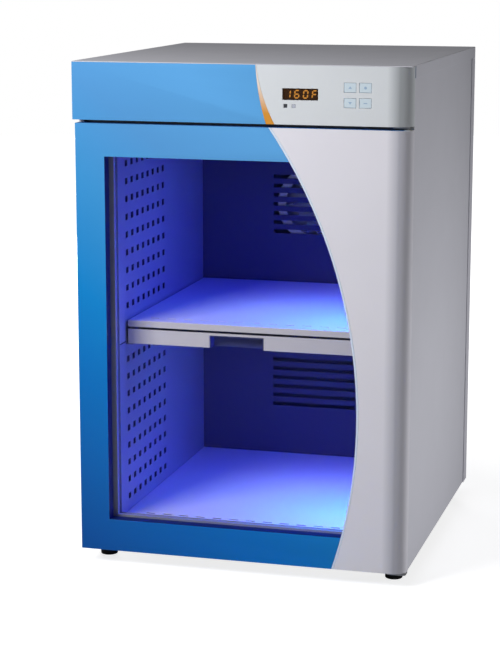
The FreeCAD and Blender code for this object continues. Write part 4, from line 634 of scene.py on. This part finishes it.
# Electrics in the bay over the chamber: power supply in a slotted case, terminal block with its clamp
# screws, and the power inlet that snaps into the rear cover.
broken_edges(piece_of("power_supply_cased", from_cad("power_supply"), zinc, "power_supply"), 0.0005)
cream = coated("cream_thermoset", (224, 214, 190), 0.45, size=1200.0, relief=0.1, wear_to=(238, 232, 214),
               worn_by=0.3, cloud=0.05)
broken_edges(piece_of("terminal_block_moulded", from_cad("terminal_block"), cream, "terminal_block"),
             0.0005, 3)
brass = coated("brass", (206, 170, 96), 0.32, size=1500.0, relief=0.05, wear_to=(236, 212, 150), worn_by=0.5,
               cloud=0.1, metallic=1.0, spread=0.2)
shape = bmesh.new()
low, high = solids_of("terminal_block")[0]
ways = 6
for way in range(ways):
    x = low.x + (high.x - low.x) * (way + 0.5) / ways
    clamp = [(0.0, -0.0007), (0.0006, -0.0004), (0.0008, 0.0), (0.0021, 0.0), (0.0025, -0.0005),
             (0.0025, -0.003), (0.0, -0.003)]
    turned(shape, clamp, (x, low.y + 0.0055, high.z - 0.004), (0, 0, 1), 24)
made("terminal_screws_turned", closed(shape), brass, "terminal_block")
broken_edges(piece_of("power_inlet_moulded", from_cad("power_inlet"), dark_nylon, "power_inlet"), 0.0006, 3)

# Fascia and door shell: blue mouldings with a smooth gloss skin. The colour deepens from the top to the
# foot as painted shade, and the left and lower reveals of the window are painted dark as shade.
blue, tree, shader = finish("blue_moulding", paint(60, 140, 215), 0.36, specular_ior_level=0.25)
place = place_of(tree)
across, _, rise = parts_of(tree, place)
# Painted shade: the blue deepens towards the foot and the left, where less light falls.
slanted = sums(tree, "MULTIPLY_ADD", sums(tree, "ADD", across, 0.2), 0.8, rise)
painted_shade_ramp = node(tree, "ValToRGB", {"Fac": ramped(tree, slanted, 0.02, 0.78)})
painted_shade_ramp.color_ramp.elements[0].color = paint(4, 85, 162)
painted_shade_ramp.color_ramp.elements[1].color = paint(98, 171, 231)
for position, chip in ((0.3, (4, 117, 197)), (0.46, (18, 135, 208)), (0.66, (63, 149, 211)),
                       (0.83, (86, 153, 212))):
    painted_shade_ramp.color_ramp.elements.new(position).color = paint(*chip)
tone = use(tree, mottle, place=place, colour=painted_shade_ramp.outputs[0], size=9.0, amount=0.03)["Colour"]
worn = use(tree, wear, place=place, amount=0.25)["Mask"]
tone = blended(tree, worn, tone, paint(150, 200, 240))
# Painted shade: reveals facing right on the left side, and facing up low down, are darkened as shade.
facing = parts_of(tree, node(tree, "TexCoord").outputs["Normal"])
faces_right, faces_up = [sums(tree, "GREATER_THAN", facing[axis], 0.7) for axis in (0, 2)]
left_edge = sums(tree, "MULTIPLY", faces_right, sums(tree, "LESS_THAN", across, 0.0))
low_edge = sums(tree, "MULTIPLY", faces_up, sums(tree, "LESS_THAN", rise, half_way_up))
painted_reveal_shade = sums(tree, "MAXIMUM", left_edge, low_edge)
tree.links.new(blended(tree, painted_reveal_shade, tone, paint(14, 34, 78)), shader.inputs["Base Color"])
surface = use(tree, skin, place=place, size=600.0, gloss=0.32, spread=0.08)
tree.links.new(surface["Roughness"], shader.inputs["Roughness"])
bumped(tree, shader, surface["Height"], 0.05)
for cad in ("fascia_shell", "door_shell"):
    broken_edges(piece_of(cad + "_blue", from_cad(cad), blue, cad), 0.0008, 3)

# Off-white overlays: the control overlay on the fascia and the door cover, whose left edge is one long
# arc and which are darkened by a painted shade where they turn the right corner. A bright bead edges the
# arc, and a thin amber inlay edges the control overlay.
overlay_white = coated("overlay_white", (222, 226, 230), 0.36, size=700.0, relief=0.04,
                       wear_to=(236, 238, 240), worn_by=0.2, cloud=0.02, painted_corner_shade=(160, 164, 168))
door_white = coated("door_white", (236, 234, 242), 0.36, size=700.0, relief=0.04, wear_to=(244, 244, 248),
                    worn_by=0.2, cloud=0.02, painted_corner_shade=(185, 185, 195))
broken_edges(piece_of("fascia_overlay_skin", from_cad("fascia_overlay"), overlay_white, "fascia_overlay"),
             0.0004, 3)
broken_edges(piece_of("door_swoosh_skin", from_cad("door_swoosh"), door_white, "door_swoosh"), 0.0004, 3)
bead = coated("edge_bead", (226, 238, 255), 0.25, size=900.0, relief=0.03, cloud=0.02)
broken_edges(piece_of("swoosh_trim_bead", from_cad("swoosh_trim"), bead, "swoosh_trim"), 0.0006, 4)
amber, tree, shader = finish("amber_inlay", paint(226, 156, 66), 0.35)
place = place_of(tree)
amber_to, pale_from = 0.625, 0.665
fading = ramped(tree, parts_of(tree, place)[2], amber_to, pale_from)
faded = blended(tree, fading, paint(222, 152, 58), paint(240, 228, 218))
tree.links.new(use(tree, mottle, place=place, colour=faded, size=60.0, amount=0.05)["Colour"],
               shader.inputs["Base Color"])
broken_edges(piece_of("fascia_stripe_inlay", from_cad("fascia_stripe"), amber, "fascia_stripe"), 0.0003)

# Control unit: a board behind the fascia carries chips and capacitors, the display module, two lamps and
# four switches. The display shows amber seven-segment digits behind a smoked window, and each key has a
# plain sign.
board, tree, shader = finish("circuit_board", paint(30, 100, 60), 0.4)
place = place_of(tree)
upright = node(tree, "Mapping", {"Vector": place, "Rotation": (math.pi / 2, 0, 0)}).outputs[0]
tracks = node(tree, "TexBrick", {"Vector": upright, "Scale": 60.0, "Mortar Size": 0.08,
                                 "Color1": paint(24, 88, 52), "Color2": paint(28, 98, 58),
                                 "Mortar": paint(70, 140, 84)}).outputs[0]
tree.links.new(tracks, shader.inputs["Base Color"])
broken_edges(piece_of("control_board_etched", from_cad("control_board"), board, "control_board"), 0.0002)
shape = bmesh.new()
low, high = solids_of("control_board")[0]
for across, rise, wide, tall, deep in ((0.3, 0.5, 0.014, 0.014, 0.0024), (0.55, 0.62, 0.01, 0.006, 0.002),
                                       (0.72, 0.35, 0.018, 0.008, 0.0065), (0.12, 0.3, 0.02, 0.008, 0.0065)):
    x, z = low.x + (high.x - low.x) * across, low.z + (high.z - low.z) * rise
    bmesh.ops.create_cube(shape, size=1, matrix=Matrix.Translation((x, high.y + deep / 2, z)) @
                          Matrix.Diagonal((wide, deep, tall, 1)))
for across in (0.44, 0.86):
    x, z = low.x + (high.x - low.x) * across, low.z + (high.z - low.z) * 0.3
    barrel = [(0.0, 0.0), (0.004, 0.0), (0.004, 0.0065), (0.0036, 0.007), (0.0, 0.0068)]
    turned(shape, barrel, (x, high.y, z), (0, 1, 0), 24)
broken_edges(made("board_components", closed(shape), dark_nylon, "control_board"), 0.0003)
for cad in ("display_module", "key_switches"):
    broken_edges(piece_of(cad + "_moulded", from_cad(cad), dark_nylon, cad), 0.0003)

lit, tree, shader = finish("lit_segment", paint(120, 60, 10), 0.5)
place = place_of(tree)
glow = noise(tree, place, 900.0)
tree.links.new(blended(tree, glow, paint(236, 140, 40), paint(250, 190, 96)), shader.inputs["Emission Color"])
shader.inputs["Emission Strength"].default_value = 1.6
segments = {"a": (0.0, 1.0, 1), "b": (0.5, 0.5, 0), "c": (0.5, -0.5, 0), "d": (0.0, -1.0, 1),
            "e": (-0.5, -0.5, 0), "f": (-0.5, 0.5, 0), "g": (0.0, 0.0, 1)}
low, high = solids_of("display_module")[0]
wide, tall, bar, lean, gap, film = 0.0054, 0.0094, 0.0017, 0.1, 0.0003, 0.0001
cells = ("bc", "acdefg", "abcdef", "aefg")
shape = bmesh.new()
for cell, lit_ones in enumerate(cells):
    x, z = low.x + (high.x - low.x) * (cell + 0.55) / len(cells), (low.z + high.z) / 2
    for letter in lit_ones:
        across, rise, lying = segments[letter]
        half = (wide if lying else tall / 2) / 2 - gap
        tips = [(-half, 0), (bar / 2 - half, bar / 2), (half - bar / 2, bar / 2), (half, 0),
                (half - bar / 2, -bar / 2), (bar / 2 - half, -bar / 2)]
        points = [(u, v) if lying else (v, u) for u, v in tips]
        points = [(across * wide + u, rise * tall / 2 + v) for u, v in points]
        corners = [(x + u + lean * v, low.y - film / 2, z + v) for u, v in points]
        drawn_out(shape, corners, (0, -film, 0))
made("display_digits", closed(shape), lit, "display_module")
smoked = coated("smoked_window", (74, 44, 12), 0.2, size=300.0, relief=0.02, cloud=0.05, alpha=0.4)
broken_edges(piece_of("display_window_smoked", from_cad("display_window"), smoked, "display_window"), 0.0003)

dark_lens = coated("dark_lens", (70, 72, 78), 0.25, size=600.0, relief=0.03, cloud=0.1)
pale_lens = coated("pale_lens", (188, 192, 206), 0.25, size=600.0, relief=0.03, cloud=0.1)
lenses = broken_edges(piece_of("indicator_lenses_moulded", from_cad("indicator_lenses"), dark_lens,
                               "indicator_lenses"), 0.0006, 3)
lenses.data.materials.append(pale_lens)
middle = sum((low.x + high.x) / 2 for low, high in solids_of("indicator_lenses")) / 2
for polygon in lenses.data.polygons:
    polygon.material_index = int(polygon.center.x > middle)

keytop = coated("key_plastic", (210, 225, 235), 0.5, size=1500.0, relief=0.1, wear_to=(214, 222, 230),
                worn_by=0.3, cloud=0.04)
print_ink = coated("key_print", (160, 186, 212), 0.5, size=1500.0, relief=0.1, cloud=0.05)
arrow = [(-0.0024, -0.0014), (0.0024, -0.0014), (0.0, 0.0018)]
bar_sign = [(-0.0024, -0.0006), (0.0024, -0.0006), (0.0024, 0.0006), (-0.0024, 0.0006)]
radius, steps = 0.0018, 24
turns = [math.tau * step / steps for step in range(steps)]
round_sign = [(radius * math.cos(turn), radius * math.sin(turn)) for turn in turns]
sunk, ink = 0.00002, 0.00006
for cad, sign, way in (("key_upper_left", arrow, 1), ("key_upper_right", round_sign, 1),
                       ("key_lower_left", arrow, -1), ("key_lower_right", bar_sign, 1)):
    broken_edges(piece_of(cad + "_cap", from_cad(cad), keytop, cad), 0.0008, 4)
    low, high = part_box(cad)
    x, z = (low[0] + high[0]) / 2, (low[2] + high[2]) / 2
    shape = bmesh.new()
    drawn_out(shape, [(x + u, low[1] + sunk, z + way * v) for u, v in sign], (0, -ink, 0))
    made(cad + "_sign", closed(shape), print_ink, cad)

# Door: two panes of clear glass held apart by a spacer, an inner frame, a black bulb gasket that closes
# on the face frame, magnets opposite the strikes, and acetal bushes in the hinge corners.
glass, tree, shader = finish("window_glass", paint(20, 30, 60), 0.03, alpha=0.03)
place = place_of(tree)
haze = noise(tree, place, 14.0, 6.0)
tree.links.new(sums(tree, "MULTIPLY_ADD", haze, 0.03, 0.015), shader.inputs["Roughness"])
for cad in ("outer_glass", "inner_glass"):
    broken_edges(piece_of(cad + "_pane", from_cad(cad), glass, cad), 0.0004)
for cad in ("door_inner_frame", "glazing_spacer"):
    broken_edges(piece_of(cad + "_pressed", from_cad(cad), stainless, cad), 0.0003)
broken_edges(piece_of("door_gasket_bulb", from_cad("door_gasket"), rubber, "door_gasket"), 0.0012, 4)
ferrite = coated("ferrite", (58, 56, 58), 0.6, size=1200.0, relief=0.15, wear_to=(96, 94, 96), worn_by=0.5,
                 cloud=0.15)
broken_edges(piece_of("catch_magnets_pressed", from_cad("catch_magnets"), ferrite, "catch_magnets"), 0.0003)
acetal = coated("acetal", (226, 226, 216), 0.4, size=900.0, relief=0.04, wear_to=(238, 238, 232), cloud=0.03)
bore, sleeve, flange, thick, rounded, lead_in = 0.00258, 0.00398, 0.00598, 0.0007, 0.0002, 0.0003
shape = bmesh.new()
for low, high in solids_of("hinge_bushes"):
    middle, length, at_top = (low + high) / 2, high.z - low.z, low.z > half_way_up
    bush = [(bore, 0.0), (flange - rounded, 0.0), (flange, rounded), (flange, thick), (sleeve, thick),
            (sleeve, length - lead_in), (sleeve - lead_in, length), (bore, length), (bore, 0.0)]
    foot = (middle.x, middle.y, high.z if at_top else low.z)
    turned(shape, bush, foot, (0, 0, -1) if at_top else (0, 0, 1))
piece_of("hinge_bushes_turned", closed(shape), acetal, "hinge_bushes")
